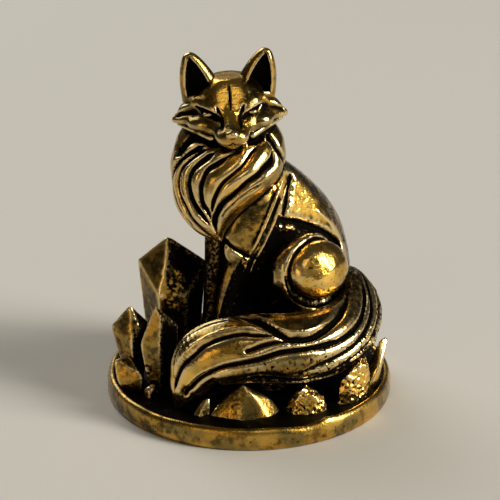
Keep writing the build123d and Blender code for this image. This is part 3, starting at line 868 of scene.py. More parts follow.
# Casting of the legs: boxes, voxels, smoothing passes, share of the shade that counts, painted shade of the
# far leg
LEFT_LEG_BOX = ((-5.3, -7.2, 1.9), (5.3, -0.2, 29.6))
RIGHT_LEG_BOX = ((-7.9, -4.9, 1.9), (-1.0, 0.8, 26.1))
LEG_VOXEL = 0.16
LEG_PASSES = (6, 14)
LEG_SHADED = 0.4
FAR_LEG_PAINTED_SHADE = 0.75


def leg_field(points, rows):
    """Tapered upright leg with toes cut in its paw."""
    height = points[:, 2]
    middle_x, middle_y, half_x, half_y = columns(smooth_rows(rows), height)
    x = points[:, 0] - middle_x
    y = points[:, 1] - middle_y
    distance = oval(x, y, half_x, half_y)
    front = ease(-0.4, -1.2, y) * ease(4.2, 3.2, height)
    for gap in TOE_GAPS:
        distance = distance + TOE_DEPTH * front * bell(x - gap, TOE_HALF_WIDTH)
    return np.maximum(distance, np.maximum(FLOOR - height, height - rows[-1][0]))


def left_leg_field(points):
    """Left foreleg with its flat shoulder, the ropes of fur behind it and the elbow's tuft."""
    blade = ball((points - BLADE_CENTRE) @ BLADE_AXES.T, (0, 0, 0), BLADE_SIZE)
    distance = blend_union(leg_field(points, LEFT_FORELEG_ROWS), blade, 0.4)
    for rope in FUR_ROPES:
        distance = blend_union(distance, strand(points, *rope), 0.05)
    distance = blend_union(distance, strand(points, *ELBOW_TUFT), 0.15) + 0.02 * noise(points, 0.4, 13)
    return distance + photo_grooves(points, ELBOW_GROOVE)


def right_leg_field(points):
    """Right foreleg, slightly uneven."""
    leg = leg_field(points, RIGHT_FORELEG_ROWS)
    return leg + 0.015 * noise(points, 0.5, 14) + 0.03 * noise(points, 1.2, 15)


def cast_leg(node, points, faces, tarnish_and_light):
    """Casts a foreleg, whose paw is dark."""
    paw = ease(7.0, 5.0, points[:, 2])
    cast(node, "fox_brass", points, faces, np.maximum(tarnish_and_light, paw), LEG_PASSES, LEG_SHADED)


def left_foreleg():
    """Near foreleg from the shoulder to the paw, painted light in front and painted shade behind its shin."""
    points, faces = sculpt(left_leg_field, *LEFT_LEG_BOX, LEG_VOXEL)
    across, down = picture(points)
    # Painted shade behind the shin
    shade_behind_shin = ease(-0.5, 2.5, across - np.interp(down, *np.array(SHIN_EDGE).T)) * ease(252, 258, down)
    elbow = ease(0.15, 0.45, photo_grooves(points, ELBOW_GROOVE))
    # Painted shade under the ruff
    seat_shade = ease(0.35, 0.05, ruff_field(points))
    tarnish_and_light = np.maximum.reduce((shade_behind_shin, elbow, seat_shade))
    # Painted light down the front of the lower leg
    tarnish_and_light = tarnish_and_light - 1.1 * ease(256, 270, down) * (1 - shade_behind_shin)
    specks = in_oval(across, down, ELBOW_SPECKS) * ease(-0.1, 0.2, noise(points, 0.4, 8))
    # Painted light on the shoulder, which the ruff shades
    tarnish_and_light = tarnish_and_light - 2.6 * specks - 0.7 * ease(258, 250, down) * (tarnish_and_light < 0.1)
    cast_leg("left_foreleg", points, faces, tarnish_and_light)


def right_foreleg():
    """Far foreleg, painted dark all over as shade."""
    points, faces = sculpt(right_leg_field, *RIGHT_LEG_BOX, LEG_VOXEL)
    cast_leg("right_foreleg", points, faces, FAR_LEG_PAINTED_SHADE)


# Haunches: thigh's dome and the band round it as shift along the spine, shift out, height, then half length,
# half depth and half height; arc cut in the band as radius, half width and depth; hind leg as height, shift
# along the spine, shift out, half length, half width; groove between the dome and the band

THIGH = (-0.3, 6.75, 17.1, 4.2, 2.4, 3.4)
THIGH_LEAN = 0.2
BAND = (-1.0, 4.9, 16.8, 4.9, 3.15, 4.5)
BAND_ARC = (4.75, 0.13, 0.3)
HIND_LEG_ROWS = (
    (2.0, -4.2, 4.8, 3.3, 1.5),
    (3.8, -4.0, 4.8, 3.1, 1.5),
    (6.5, -2.0, 5.2, 2.6, 1.7),
    (11.0, -0.5, 5.6, 2.6, 1.9),
    (16.0, -0.3, 5.6, 2.6, 1.9),
)
BAND_GROOVE_DEPTH = 0.75
BAND_GROOVE_WIDTH = 0.42
HAUNCH_SINK = 0.1
HAUNCH_MARGIN = 0.6
HAUNCH_VOXEL = 0.18


def thigh_dome(body):
    """Flattened dome of the thigh, leaning in at its top."""
    leaning = body.copy()
    leaning[:, 1] += THIGH_LEAN * (body[:, 2] - THIGH[2])
    return ball(leaning, THIGH[:3], THIGH[3:])


def haunch_field(points, side):
    """Domed thigh in a grooved band, on a hind leg with a long foot."""
    body = body_frame(points, side)
    along, out, height = body.T
    dome = thigh_dome(body)
    band = ball(body, BAND[:3], BAND[3:])
    shift_along, shift_out, half_length, half_width = columns(smooth_rows(HIND_LEG_ROWS), height)
    leg = oval(along - shift_along, out - shift_out, half_length, half_width)
    leg = np.maximum(leg, np.maximum(FLOOR - height, height - HIND_LEG_ROWS[-1][0]))
    groove = BAND_GROOVE_DEPTH * bell(dome, BAND_GROOVE_WIDTH)
    band = blend_union(band, leg, 0.8) + groove + 0.05 * noise(points, 0.5, 7)
    from_thigh = np.hypot(along - THIGH[0], height - THIGH[2])
    lower = ease(1.5, -0.5, height - THIGH[2]) * ease(1.5, -0.5, along - THIGH[0])
    arc_radius, arc_half_width, arc_depth = BAND_ARC
    band = band + arc_depth * lower * bell(from_thigh - arc_radius, arc_half_width)
    hammered = 0.05 * noise(points, 1.1, 16) + 0.03 * noise(points, 0.4, 10)
    return np.minimum(dome, band) + hammered


def haunches():
    """Thighs with their hind legs: a pitted dome with a painted reflection on it, in a black groove."""
    for node, side in (("left_haunch", 1), ("right_haunch", -1)):
        low, high = solid_box(node)
        low[2] = FLOOR - HAUNCH_SINK
        field = partial(haunch_field, side=side)
        points, faces = sculpt(field, low - HAUNCH_MARGIN, high + HAUNCH_MARGIN, HAUNCH_VOXEL)
        body = body_frame(points, side)
        dome = thigh_dome(body)
        ring_width = 0.45 + 0.7 * ease(0.5, -2.0, points[:, 2] - THIGH[2])
        ring = bell(dome, ring_width) * ease(0.0, 0.2, dome)
        # Painted reflection on the dome, stronger towards its front
        gilt_and_highlight = ease(0.25, 0.0, dome) * (0.35 + 0.6 * ease(1.5, -1.0, body[:, 0] - THIGH[0]))
        pitted = ease(0.45, 0.7, noise(points, 0.3, 19))
        cast(node, "fox_brass", points, faces, ring - 0.95 * gilt_and_highlight * (1 - pitted) + 0.35 * pitted)


# Head, in its own frame: out from the middle, forward, up

def head_frame(points):
    """Points in the head's frame, which rolls to the fox's right and turns to its left."""
    offset = points - np.array(HEAD_CENTRE)
    roll = math.radians(HEAD_ROLL)
    turn = math.radians(HEAD_TURN)
    out = offset[:, 0] * math.cos(roll) + offset[:, 2] * math.sin(roll)
    up = offset[:, 2] * math.cos(roll) - offset[:, 0] * math.sin(roll)
    forward = -offset[:, 1]
    return np.stack((
        out * math.cos(turn) - forward * math.sin(turn),
        out * math.sin(turn) + forward * math.cos(turn),
        up,
    ), -1)


def mirrored(local):
    """Points of the head with its right side folded onto its left."""
    both = local.copy()
    both[:, 0] = np.abs(both[:, 0])
    return both


# Forms of the head: the skull as middle and half sizes; flats on its crown, its face and its jaw; cheeks and
# muzzle as middle, half sizes and blend; ridges as blend, then places and radius; brow as places and radius
SKULL = ((0, -0.8, 0), (4.6, 4.5, 4.2))
CROWN_HEIGHT = 3.8
FACE_SLOPE = (0.817, 0.577, 3.3)
JAW_DEPTH = 3.2
CHEEKS = (
    ((3.9, -0.2, -0.25), (2.2, 1.7, 1.5), 0.5),
    ((2.7, 1.5, -1.1), (2.4, 1.9, 1.2), 0.6),
)
FACE_RIDGES = (
    (0.5, (0, 1.5, -1.3, 2.0), (0, 4.2, -1.9, 1.3)),
    (0.3, (0, 2.3, 0.15, 1.3), (0, 3.3, -0.5, 1.12), (0, 4.6, -1.15, 0.92), (0, 5.5, -1.5, 0.72)),
    (0.3, (6.45, -0.3, -0.85, 0.24), (5.4, 0.3, 0.4, 0.3), (4.1, 1.1, 0.95, 0.35)),
    (
        0.3, (6.55, -0.2, -1.15, 0.34), (5.0, 0.9, -0.95, 0.52), (3.75, 1.9, -1.15, 0.6),
        (2.3, 3.1, -1.55, 0.62),
    ),
    (0.4, (2.3, 3.0, -1.2, 0.65), (1.5, 4.1, -1.6, 0.65)),
    (0.35, (2.5, 2.6, -0.7, 0.5), (1.35, 3.8, -0.95, 0.5)),
    (0.15, (6.1, -0.4, -1.75, 0.22), (4.6, 0.9, -2.0, 0.42), (2.4, 2.8, -2.6, 0.5)),
)
BROW = ((3.9, 1.1, 1.45, 0.35), (2.9, 2.0, 1.15, 0.5), (1.9, 2.7, 0.75, 0.42))
EYEBALL = ((2.55, 2.6, 0.2), (0.62, 0.5, 0.3))
MUZZLE = (
    ((0, 4.7, -2.05), (1.95, 1.35, 1.05), 0.45),
    ((0.55, 5.05, -2.1), (1.05, 0.9, 0.85), 0.6),
    ((0, 4.85, -3.05), (0.75, 0.75, 0.42), 0.3),
)
NOSE = ((0, 6.0, -1.42), (0.72, 0.5, 0.5))

# Lines cut in the face, as places and radius; how much shallower the fox's left eye and cheek are
EYE_SOCKET = (
    (3.85, 1.6, 0.95, 0.12), (3.2, 2.4, 0.62, 0.4), (2.4, 3.05, 0.25, 0.5), (1.5, 3.55, -0.08, 0.34),
    (1.05, 3.85, -0.2, 0.16),
)
NOSE_CREASE = (
    (1.9, 2.75, 1.6, 0.05), (1.5, 3.15, 0.9, 0.2), (1.12, 3.8, 0.05, 0.24), (1.1, 4.3, -0.7, 0.15),
    (0.95, 5.2, -1.3, 0.06),
)
FOREHEAD_SLIT = ((0, 1.6, 3.45, 0.05), (0, 2.5, 2.2, 0.15), (0, 3.5, 0.8, 0.05))
MOUTH = ((0, 6.0, -2.5, 0.08), (0.6, 5.65, -2.82, 0.1), (1.3, 5.3, -2.65, 0.1), (1.75, 4.8, -2.35, 0.05))
CHEEK_FOLD = (
    (6.3, -0.2, -1.7, 0.08), (5.0, 1.1, -1.6, 0.16), (3.75, 2.2, -1.85, 0.18), (2.3, 3.4, -2.25, 0.14),
)
CHEEK_LEAF = ((6.2, 0.1, -0.5, 0.1), (5.1, 1.15, 0.1, 0.34), (4.1, 2.05, 0.3, 0.2), (3.8, 2.25, 0.35, 0.06))
LEFT_SHALLOWER = 0.12
HEAD_BOX = ((-9.8, -8.4, 32.4), (5.4, 4.6, 41.6))
HEAD_VOXEL = 0.11


def head_field(points):
    """Broad flat skull with a short muzzle, slanted eyes and pointed cheeks."""
    local = head_frame(points)
    both = mirrored(local)
    out, forward, up = local.T
    skull = ball(both, *SKULL)
    skull = blend_common(skull, up - CROWN_HEIGHT, 0.25)
    skull = blend_common(skull, FACE_SLOPE[0] * forward + FACE_SLOPE[1] * up - FACE_SLOPE[2], 0.3)
    skull = blend_common(skull, -up - JAW_DEPTH, 0.4)
    for middle, half_sizes, blend in CHEEKS:
        skull = blend_union(skull, ball(both, middle, half_sizes), blend)
    for blend, *stations in FACE_RIDGES:
        skull = blend_union(skull, strand(both, *stations), blend)
    shallower = LEFT_SHALLOWER * (out > 0)
    skull = blend_cut(skull, strand(both, *CHEEK_LEAF) + shallower, 0.4)
    skull = blend_cut(skull, strand(both, *CHEEK_FOLD), 0.1)
    skull = blend_union(skull, strand(both, *BROW), 0.9)
    skull = blend_cut(skull, strand(both, *EYE_SOCKET) + shallower, 0.12)
    skull = blend_union(skull, ball(both, *EYEBALL), 0.05)
    skull = blend_cut(skull, strand(both, *NOSE_CREASE), 0.15)
    for middle, half_sizes, blend in MUZZLE:
        skull = blend_union(skull, ball(both, middle, half_sizes), blend)
    for line in (FOREHEAD_SLIT, MOUTH):
        skull = blend_cut(skull, strand(both, *line), 0.08)
    skull = blend_union(skull, ball(both, *NOSE), 0.2)
    crown = ease(3.3, 3.7, up)
    return skull + 0.006 * noise(points, 1.1, 17) + 0.015 * crown * noise(points, 0.3, 18)


def head():
    """Head without its ears: painted highlight on its forehead and painted light on its crown, black in its
    lines.
    """
    points, faces = sculpt(head_field, *HEAD_BOX, HEAD_VOXEL)
    local = head_frame(points)
    both = mirrored(local)
    out, forward, up = local.T
    # Painted highlight on the forehead
    gilt_and_highlight = ease(2.4, 0.8, both[:, 0]) * ease(0.6, 1.6, forward) * ease(-1.2, 0.4, up)
    eyes = ease(0.1, -0.05, strand(both, *EYE_SOCKET)) * ease(0.05, 0.2, ball(both, *EYEBALL))
    # Painted shade: the fox's right eye is darker than its left
    eyes = eyes * np.where(out > 0, 0.4, 0.8)
    lines = [strand(both, *line) for line in (FOREHEAD_SLIT, NOSE_CREASE, MOUTH, CHEEK_FOLD)]
    lines = ease(0.12, -0.02, np.minimum.reduce(lines))
    # Painted light on the crown
    crown = 0.9 * ease(3.4, 3.7, up)
    cast("head", "fox_brass", points, faces, np.maximum(lines, eyes) - 0.7 * gilt_and_highlight - crown)


# Ears: base and tips in the head's frame, then shell and cup as share of the length, half width, half depth;
# share where the shell starts, and shares between which it is hollow

EAR_BASE = (3.4, -0.7, 1.9)
EAR_TIPS = {"right_ear": (4.5, -0.6, 6.85), "left_ear": (4.75, -0.6, 6.8)}
EAR_SHELL_ROWS = ((-0.2, 2.4, 1.5), (0.0, 2.35, 1.45), (0.4, 1.95, 1.25), (0.75, 1.28, 0.95), (1.0, 0.5, 0.5))
EAR_CUP_ROWS = ((0.0, 1.35, 1.1), (0.3, 1.2, 1.05), (0.65, 0.7, 0.75), (0.9, 0.12, 0.25))
EAR_START = -0.15
EAR_CUP_SPAN = (0.05, 0.9)
EAR_CUP_SHIFT = 0.85
EAR_LEAN_IN = 0.2
EAR_SLOPE = 0.9
EAR_MARGINS = (0.9, 0.8)
EAR_VOXEL = 0.1


def ear_place(points, node):
    """Points in an ear's own frame: share of its length, across, forward, and its length."""
    local = head_frame(points)
    if node == "right_ear":
        local[:, 0] *= -1
    base = np.array(EAR_BASE)
    run = np.array(EAR_TIPS[node]) - base
    offset = local - base
    share = offset @ run / (run @ run)
    away = offset - np.clip(share, EAR_SHELL_ROWS[0][0], 1)[:, None] * run
    return share, away[:, 0], away[:, 1], np.linalg.norm(run)


def ear_cup(points, node):
    """Hollow in the front of an ear."""
    share, across, forward, length = ear_place(points, node)
    half_width, half_depth = columns(smooth_rows(EAR_CUP_ROWS), share)
    cup = oval(across, forward - EAR_CUP_SHIFT, half_width, half_depth)
    start, end = EAR_CUP_SPAN
    return np.maximum(cup, np.maximum(share - end, start - share) * length)


def ear_field(points, node):
    """Tapered shell with a thick rolled rim, hollowed from the front."""
    share, across, forward, length = ear_place(points, node)
    half_width, half_depth = columns(smooth_rows(EAR_SHELL_ROWS), share)
    inset = EAR_LEAN_IN * np.clip(1 - share, 0, 1)
    shell = oval(across + inset, forward, half_width, half_depth)
    shell = blend_common(shell, (share - 1.0) * length, 0.5)
    shell = np.maximum(shell, (EAR_START - share) * length)
    return blend_cut(shell * EAR_SLOPE, ear_cup(points, node) * EAR_SLOPE, 0.35)


def ears():
    """Ears with thick rims, black inside."""
    for node in EAR_TIPS:
        low, high = solid_box(node)
        field = partial(ear_field, node=node)
        points, faces = sculpt(field, low - EAR_MARGINS[0], high + EAR_MARGINS[1], EAR_VOXEL)
        cast(node, "fox_brass", points, faces, ease(0.2, 0.0, ear_cup(points, node)))


# Crystals and rocks: depth of the fine grain, depth of the pits, then the corners of each. A corner without a
# height is at the foot, which sinks into the floor

STONES = {
    "tall_crystal": (
        0.015, 0.06,
        (-9.9, -1.2, 20.7), (-9.95, -2.3, 18.4), (-13.75, 0.0, 17.0), (-11.0, -3.8, 13.7), (-7.4, -3.2, 13.4),
        (-5.2, -0.5, 17.1), (-7.4, 3.5, 17.0), (-12.4, 3.2, 16.5), (-12.3, 0.0), (-10.9, -2.3),
        (-7.9, -2.1), (-6.4, 0.0), (-8.0, 2.4), (-11.4, 2.3),
    ),
    "left_crystal": (
        0.02, 0.10,
        (-14.5, -3.4, 12.6), (-17.0, -2.9, 9.45), (-14.3, -5.0, 7.7), (-13.2, -4.2, 9.6), (-12.4, -1.6, 9.5),
        (-15.5, -0.8, 9.0), (-15.1, -3.0), (-14.2, -3.8), (-13.1, -3.0), (-13.2, -1.6),
        (-14.9, -1.4),
    ),
    "front_crystal": (
        0.02, 0.08,
        (-11.3, -6.1, 13.7), (-13.3, -6.3, 8.5), (-10.6, -6.6, 12.3), (-10.7, -7.0, 8.5), (-8.4, -4.6, 10.4),
        (-12.0, -4.2, 9.5), (-12.3, -5.8), (-10.7, -6.1), (-9.4, -4.9), (-11.2, -3.9),
    ),
    "low_crystal": (
        0.02, 0.05,
        (-16.6, -5.0, 6.05), (-14.7, -4.2, 6.2), (-12.9, -6.3, 4.3), (-16.2, -5.9, 3.4), (-15.2, -6.0),
        (-13.0, -6.4), (-13.0, -4.4), (-15.4, -4.2),
    ),
    "crystal_chip": (
        0.04, 0.10,
        (-13.1, -7.0), (-12.2, -7.9), (-10.8, -7.5), (-10.7, -6.6), (-12.4, -6.3),
        (-12.8, -7.1, 3.0), (-11.9, -7.5, 3.1), (-11.1, -7.2, 2.9), (-11.5, -6.6, 3.6), (-12.3, -6.6, 3.4),
    ),
    "front_rock": (
        0.012, 0.06,
        (-0.75, -11.6, 5.9), (-0.85, -13.3, 3.2), (-0.8, -13.9), (0.7, -12.5, 4.4), (1.2, -13.3),
        (2.4, -11.2, 3.9), (3.9, -10.9), (3.4, -9.3), (2.6, -12.6), (-3.6, -11.4, 3.4),
        (-4.9, -12.2), (-4.0, -9.6), (0.6, -9.6, 3.6), (-2.4, -9.6, 3.6),
    ),
    "small_front_rock": (
        0.04, 0.10,
        (-6.9, -12.1), (-6.0, -12.8), (-4.7, -12.2), (-4.6, -11.2), (-5.8, -10.8),
        (-6.3, -11.8, 2.9), (-5.5, -12.3, 3.0), (-4.6, -11.7, 3.6), (-4.7, -11.3, 4.3), (-5.5, -11.4, 3.9),
    ),
    "right_front_rock": (
        0.14, 0.12,
        (4.1, -10.6), (5.2, -12.1), (7.6, -12.2), (9.5, -10.9), (9.4, -9.6),
        (5.2, -9.0), (4.8, -10.7, 3.5), (6.2, -11.2, 5.0), (8.2, -11.3, 3.9), (8.9, -10.3, 3.7),
        (6.9, -10.0, 5.1),
    ),
    "long_right_rock": (
        0.14, 0.12,
        (10.6, -9.2), (12.4, -9.3), (14.3, -7.9), (14.9, -5.8), (12.2, -5.2),
        (10.9, -8.8, 4.6), (12.0, -9.0, 6.0), (13.6, -7.9, 6.7), (14.6, -6.9, 5.8), (14.3, -5.8, 6.8),
        (13.2, -6.2, 7.0),
    ),
    "right_shard": (
        0.02, 0.05,
        (13.7, -4.4), (14.4, -5.9), (15.8, -4.8), (15.2, -2.8), (14.4, -4.1, 4.6),
        (15.9, -5.0, 4.8), (16.5, -3.2, 4.6), (17.3, -2.1, 7.9), (16.2, -2.7, 8.0), (16.9, -3.4, 6.6),
    ),
}
STONE_FOOT = 1.7
STONE_EDGE = 0.22
FIRST_STONE_SEED = 20
STONE_MARGIN = 0.2
STONE_VOXEL = 0.13
TALL_CRYSTAL_VOXEL = 0.18

# Way that the crystals' sides painted black as shade face; in the photograph, the ovals of the tall crystal's
# gold side and of the painted highlight on its ridge
CRYSTAL_SHADE = direction(0.9, -0.43, 0.0)
GOLD_SIDE = (175, 289, 12, 22)
BRIGHT_RIDGE = (163, 287, 4, 13)


def facets(corners):
    """Planes of the convex form round some corners: normals and distances from the origin."""
    form = bmesh.new()
    for corner in corners:
        form.verts.new(corner)
    bmesh.ops.convex_hull(form, input=form.verts)
    form.normal_update()
    planes = {}
    for face in form.faces:
        planes[tuple(round(value, 2) for value in face.normal)] = (
            tuple(face.normal),
            face.normal.dot(face.calc_center_median()),
        )
    form.free()
    return list(planes.values())


def stone_field(points, planes, grain_depth, pit_depth, seed):
    """Flat-sided stone with worn edges, fine grain and patches of pits."""
    sides = [points @ np.array(normal) - reach for normal, reach in planes]
    distance = sides[0]
    for side in sides[1:]:
        distance = blend_common(distance, side, STONE_EDGE)
    pitted = ease(-0.1, 0.5, noise(points, 1.8, seed))
    pits = np.maximum(noise(points, 0.34, seed + 1), -0.2)
    return distance + pit_depth * pitted * pits + grain_depth * noise(points, 0.3, seed + 2)


def crystal_painted_light_and_specks(node, points, faces):
    """Painted shade on the sides of a crystal that face the fox; gold specks and a painted highlight on the
    tall one's ridge.
    """
    facing = point_normals(points, faces) @ CRYSTAL_SHADE
    # Painted shade on the sides that face the fox
    tarnish_and_light = 0.8 * ease(0.3, 0.6, facing)
    if node == "tall_crystal":
        across, down = picture(points)
        speckled = in_oval(across, down, GOLD_SIDE) * ease(0.0, 0.3, noise(points, 0.26, 7))
        # Gold specks, and a painted highlight on the ridge
        bright = np.maximum(1.6 * speckled, 1.4 * in_oval(across, down, BRIGHT_RIDGE))
        tarnish_and_light = tarnish_and_light - bright * ease(-0.1, 0.3, facing)
    return tarnish_and_light


def stones():
    """Crystal cluster and the rocks round the brush, which are brighter at the right."""
    for place, (node, (grain_depth, pit_depth, *listed)) in enumerate(STONES.items()):
        corners = [(*corner, STONE_FOOT)[:3] for corner in listed]
        field = partial(
            stone_field,
            planes=facets(corners),
            grain_depth=grain_depth,
            pit_depth=pit_depth,
            seed=FIRST_STONE_SEED + 3 * place,
        )
        low = np.min(corners, 0) - STONE_MARGIN
        high = np.max(corners, 0) + STONE_MARGIN
        voxel = TALL_CRYSTAL_VOXEL if node == "tall_crystal" else STONE_VOXEL
        points, faces = sculpt(field, low, high, voxel)
        if "crystal" in node:
            cast(node, "crystal_brass", points, faces, crystal_painted_light_and_specks(node, points, faces))
        else:
            cast(node, "rock_brass", points, faces, -0.2 - 0.45 * ease(3.0, 6.0, points[:, 0]))


# Shelter: how much metal stands round a place, near it and farther off, on a grid of cells

SHELTER_CELL = 0.5
SHELTER_LOW = np.array((-28.0, -28.0, -8.0))
SHELTER_HIGH = np.array((28.0, 28.0, 54.0))
NEAR_CELLS = 2
NEAR_STEP = 1.2
FAR_CELLS = 4
FAR_STEP = 2.6


def spread(share, reach):
    """Share of metal, averaged twice along each axis over cells within reach."""
    for axis in range(3):
        for _ in range(2):
            shifted = [np.roll(share, shift, axis) for shift in range(-reach, reach + 1)]
            share = sum(shifted) / len(shifted)
    return share


def shelter():
    """Share of metal round each cell, within about 1.5 mm and within about 3.5 mm."""
    shape = tuple(((SHELTER_HIGH - SHELTER_LOW) / SHELTER_CELL).astype(int) + 1)
    filled = np.zeros(shape, np.float32)
    x, y, z = ((np.vstack(occupied) - SHELTER_LOW) / SHELTER_CELL).round().astype(int).T
    filled[x, y, z] = 1
    x, y, z = (np.arange(count) * SHELTER_CELL + low for count, low in zip(shape, SHELTER_LOW))
    in_plinth = np.hypot(x[:, None, None], y[None, :, None]) < BASE_RADIUS
    filled[in_plinth * (z < FLOOR)] = 1
    near = spread(filled, NEAR_CELLS)
    return near, spread(near, FAR_CELLS)


def share_at(share, points):
    """Share of metal in the cells where points are."""
    place = ((points - SHELTER_LOW) / SHELTER_CELL).round().astype(int)
    return share[tuple(np.clip(place, 0, np.array(share.shape) - 1).T)]


def mark_castings():
    """Writes how hollow and sheltered each point is and its tarnish with painted light and shade, for the
    patina and painted shade.
    """
    near, far = shelter()
    for piece, points, normals, fine, broad, tarnish_and_light, shaded in castings:
        marks = {
            "fine": fine,
            "broad": broad,
            "shelter": shaded * share_at(near, points + NEAR_STEP * normals),
            "enclosed": shaded * share_at(far, points + FAR_STEP * normals),
            "tarnish_and_light": tarnish_and_light,
        }
        for name, values in marks.items():
            attribute = piece.data.attributes.new(name, "FLOAT", "POINT")
            attribute.data.foreach_set("value", values.astype(np.float32))


# Materials

def add_node(tree, kind, inputs=(), **settings):
    """Node with its settings and inputs, each of which is a value or another node's output."""
    node = tree.nodes.new(kind)
    for name, value in settings.items():
        setattr(node, name, value)
    for name, value in dict(inputs).items():
        if isinstance(value, bpy.types.NodeSocket):
            tree.links.new(value, node.inputs[name])
        else:
            node.inputs[name].default_value = value
    return node


def remap(tree, value, low, high, to_low=0.0, to_high=1.0):
    """Smooth step of a value between two levels."""
    inputs = {"Value": value, "From Min": low, "From Max": high, "To Min": to_low, "To Max": to_high}
    return add_node(tree, "ShaderNodeMapRange", inputs, interpolation_type="SMOOTHSTEP").outputs["Result"]


def maths(tree, operation, first, second):
    """Two values put together by an operation."""
    return add_node(tree, "ShaderNodeMath", {0: first, 1: second}, operation=operation).outputs[0]


def mix(tree, share, first, second):
    """Colour between two colours."""
    return add_node(tree, "ShaderNodeMix", {0: share, 6: first, 7: second}, data_type="RGBA").outputs[2]


def grain(tree, place, size, detail):
    """Noise with grains of a size in millimetres."""
    inputs = {"Vector": place, "Scale": 1 / (size * MM), "Detail": detail}
    return add_node(tree, "ShaderNodeTexNoise", inputs).outputs["Fac"]


# Colours of the brass; the gilt one also serves painted highlights and the patina one painted shade
OLIVE_BRASS = (0.27, 0.19, 0.05, 1)
GOLD_BRASS = (0.52, 0.29, 0.04, 1)
GILT_AND_HIGHLIGHT_BRASS = (0.86, 0.52, 0.09, 1)
BRIGHT_BRASS = (0.88, 0.69, 0.34, 1)
BROWN_FILM = (0.045, 0.026, 0.006, 1)
PATINA_AND_SHADE = (0.005, 0.004, 0.003, 1)
COAT_WEIGHT = 0.25
COAT_ROUGHNESS = 0.1
PATINA_ROUGHNESS = 0.6
BUMP_DEPTH = 0.05

# Finishes: roughness of the clean brass, share of pits, and how much brown film is on it
FINISHES = {
    "plinth_brass": (0.2, 0.5, 0.24),
    "fox_brass": (0.12, 0.34, 0.22),
    "crystal_brass": (0.22, 0.3, 0.22),
    "rock_brass": (0.18, 0.4, 0.0),
}


def antique_brass(name, roughness, pits, film):
    """Brass polished on its edges, filmed with brown on its flats and black with patina and painted shade in
    its hollows.

    It is gilt with painted highlights and reflections where its tarnish mark is below zero. A thin lacquer
    lies on it where it is clean.
    """
    material = bpy.data.materials.new(name)
    material.use_nodes = True
    tree = material.node_tree
    tree.nodes.clear()
    add, times, larger, smaller, less = (
        partial(maths, tree, operation)
        for operation in ("ADD", "MULTIPLY", "MAXIMUM", "MINIMUM", "SUBTRACT")
    )
    step = partial(remap, tree)
    blend = partial(mix, tree)
    place = add_node(tree, "ShaderNodeTexCoord").outputs["Object"]
    fine, broad, sheltered, enclosed, tarnish_and_light = (
        add_node(tree, "ShaderNodeAttribute", attribute_name=attribute).outputs["Fac"]
        for attribute in ("fine", "broad", "shelter", "enclosed", "tarnish_and_light")
    )
    clouds = grain(tree, place, 2.4, 2.0)
    blotches = grain(tree, place, 1.1, 1.0)
    specks = grain(tree, place, 0.22, 2.0)
    ragged = grain(tree, place, 0.4, 3.0)
    grit = grain(tree, place, 0.16, 1.0)

    # Patina lies in creases, valleys and pits; painted shade, partly patina, lies in the shelter of other
    # metal and where the tarnish mark holds painted shade
    depth = add(times(larger(fine, -0.02), 9.0), times(larger(broad, -0.06), 2.6))
    depth = add(depth, step(sheltered, 0.16, 0.55, 0.0, 0.7))
    depth = add(depth, step(enclosed, 0.16, 0.5, 0.0, 0.6))
    depth = add(depth, times(larger(tarnish_and_light, -0.1), 0.9))
    # Painted light takes away patina and painted shade where the tarnish mark is below -1
    depth = add(depth, smaller(add(tarnish_and_light, 1.0), 0.0))
    depth = add(depth, step(ragged, 0.3, 0.7, -0.18, 0.18))
    speckled = times(step(specks, 0.52, 0.68), pits)
    dirt_and_shade = step(add(depth, speckled), 0.14, 0.48)

    # Brown film lies round the patina and painted shade in blotches, and is worn off the edges
    film_level = add(depth, step(blotches, 0.25, 0.75, 0.0, 0.9))
    polished = larger(step(fine, -0.02, -0.06), step(broad, -0.22, -0.45, 0.0, 0.7))
    filmed = less(step(film_level, 0.2 - film, 1.0 - film), polished)

    # Brass is clouded under the film, gilt and painted with highlights where the tarnish mark is lowest, and
    # bright where it is polished
    brass = blend(step(clouds, 0.38, 0.62), OLIVE_BRASS, GOLD_BRASS)
    brass = blend(times(filmed, 0.82), brass, BROWN_FILM)
    brass = blend(step(tarnish_and_light, -0.1, -0.7), brass, GILT_AND_HIGHLIGHT_BRASS)
    brass = blend(times(polished, 0.8), brass, BRIGHT_BRASS)
    colour = blend(dirt_and_shade, brass, PATINA_AND_SHADE)

    # Patina and painted shade are dull and have no lacquer, and fine grain roughens all of it
    shine = add(step(dirt_and_shade, 0.0, 1.0, roughness, PATINA_ROUGHNESS), times(blotches, 0.14))
    height = add(times(ragged, 1.4), add(specks, grit))
    relief = {"Height": height, "Strength": 0.1 + 0.6 * pits, "Distance": BUMP_DEPTH * MM}
    bumps = add_node(tree, "ShaderNodeBump", relief)
    surface = add_node(
        tree,
        "ShaderNodeBsdfPrincipled",
        {
            "Base Color": colour,
            "Metallic": 1.0,
            "Roughness": shine,
            "Normal": bumps.outputs["Normal"],
            "Coat Weight": step(dirt_and_shade, 0.0, 0.8, COAT_WEIGHT, 0.0),
            "Coat Roughness": COAT_ROUGHNESS,
        },
    )
    add_node(tree, "ShaderNodeOutputMaterial", {"Surface": surface.outputs["BSDF"]})
    return material


def finish_castings():
    """Gives each casting its brass."""
    finishes = {name: antique_brass(name, *finish) for name, finish in FINISHES.items()}
    for piece, *_ in castings:
        piece.data.materials.append(finishes[piece["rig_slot"]])


# Stage. Lamps are place, width and height, power and colour, in metres and watts

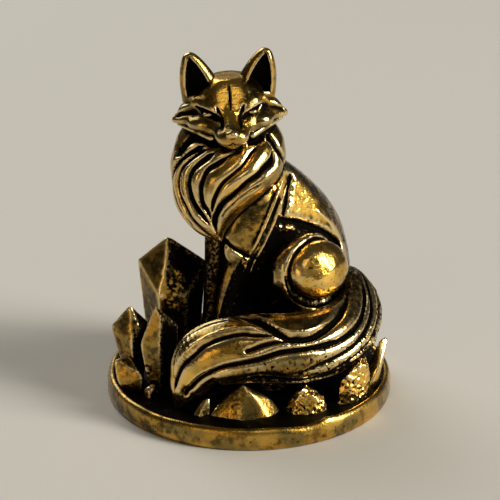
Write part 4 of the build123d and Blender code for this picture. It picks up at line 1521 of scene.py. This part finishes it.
TABLE = (0.685, 0.658, 0.588, 1)
TABLE_ROUGHNESS = 0.7
TABLE_HALF_SIDE = 0.8
LIT_POINT = (0, 0, 0.02)
LAMPS = {
    "window": ((0.86, -0.28, 0.46), (0.26, 0.6), 11.0, (1.0, 0.98, 0.94)),
    "ceiling": ((-0.34, 0.46, 0.46), (0.5, 0.5), 2.2, (1.0, 1.0, 1.0)),
    "glow": ((-0.5, -0.75, 0.25), (0.4, 0.4), 0.7, (1.0, 0.72, 0.35)),
    "fill": ((0.15, -0.8, 0.3), (0.5, 0.3), 0.08, (1.0, 0.9, 0.7)),
    "back": ((0.0, 0.85, 0.38), (0.6, 0.16), 0.12, (1.0, 0.92, 0.78)),
    "front": ((0.1, -0.6, 0.68), (0.3, 0.3), 0.4, (1.0, 0.85, 0.6)),
}
ROOM = (0.06, 0.056, 0.05, 1)


def aim(thing, place, target):
    """Puts a lamp or a camera at a place, facing a target."""
    thing.location = place
    thing.rotation_euler = (Vector(target) - Vector(place)).to_track_quat("-Z", "Y").to_euler()


def table():
    """Plain pale table."""
    form = bmesh.new()
    bmesh.ops.create_grid(form, x_segments=2, y_segments=2, size=TABLE_HALF_SIDE)
    mesh = bpy.data.meshes.new("table")
    form.to_mesh(mesh)
    form.free()
    material = bpy.data.materials.new("table")
    material.use_nodes = True
    surface = material.node_tree.nodes["Principled BSDF"]
    surface.inputs["Base Color"].default_value = TABLE
    surface.inputs["Roughness"].default_value = TABLE_ROUGHNESS
    mesh.materials.append(material)
    top = put("table", mesh)


def studio():
    """Tall window at the right, a weak ceiling, a warm glow from the left, dim lamps and a grey room."""
    for name, (place, size, power, colour) in LAMPS.items():
        data = bpy.data.lights.new(name, "AREA")
        data.shape = "RECTANGLE"
        data.size, data.size_y = size
        data.energy = power
        data.color = colour
        aim(put(name, data), place, LIT_POINT)
    world = bpy.data.worlds.new("room")
    bpy.context.scene.world = world
    world.use_nodes = True
    world.node_tree.nodes["Background"].inputs["Color"].default_value = ROOM
    world.node_tree.nodes["Background"].inputs["Strength"].default_value = 1.0


def camera():
    """Camera at the photograph's viewing angle."""
    data = bpy.data.cameras.new("camera")
    data.sensor_width = SENSOR_WIDTH
    data.lens = CAMERA_LENS
    data.shift_x, data.shift_y = CAMERA_SHIFT
    data.clip_start = CLIP_START
    view = put("camera", data)
    rise = math.radians(CAMERA_RISE)
    target = Vector(CAMERA_TARGET) * MM
    place = target + Vector((0, -math.cos(rise), math.sin(rise))) * CAMERA_DISTANCE * MM
    aim(view, place, target)
    bpy.context.scene.camera = view


camera()
table()
studio()
plinth()
torso()
chest_ruff()
head()
ears()
left_foreleg()
right_foreleg()
haunches()
tail()
stones()
mark_castings()
finish_castings()
bpy.context.scene.view_settings.view_transform = "Standard"
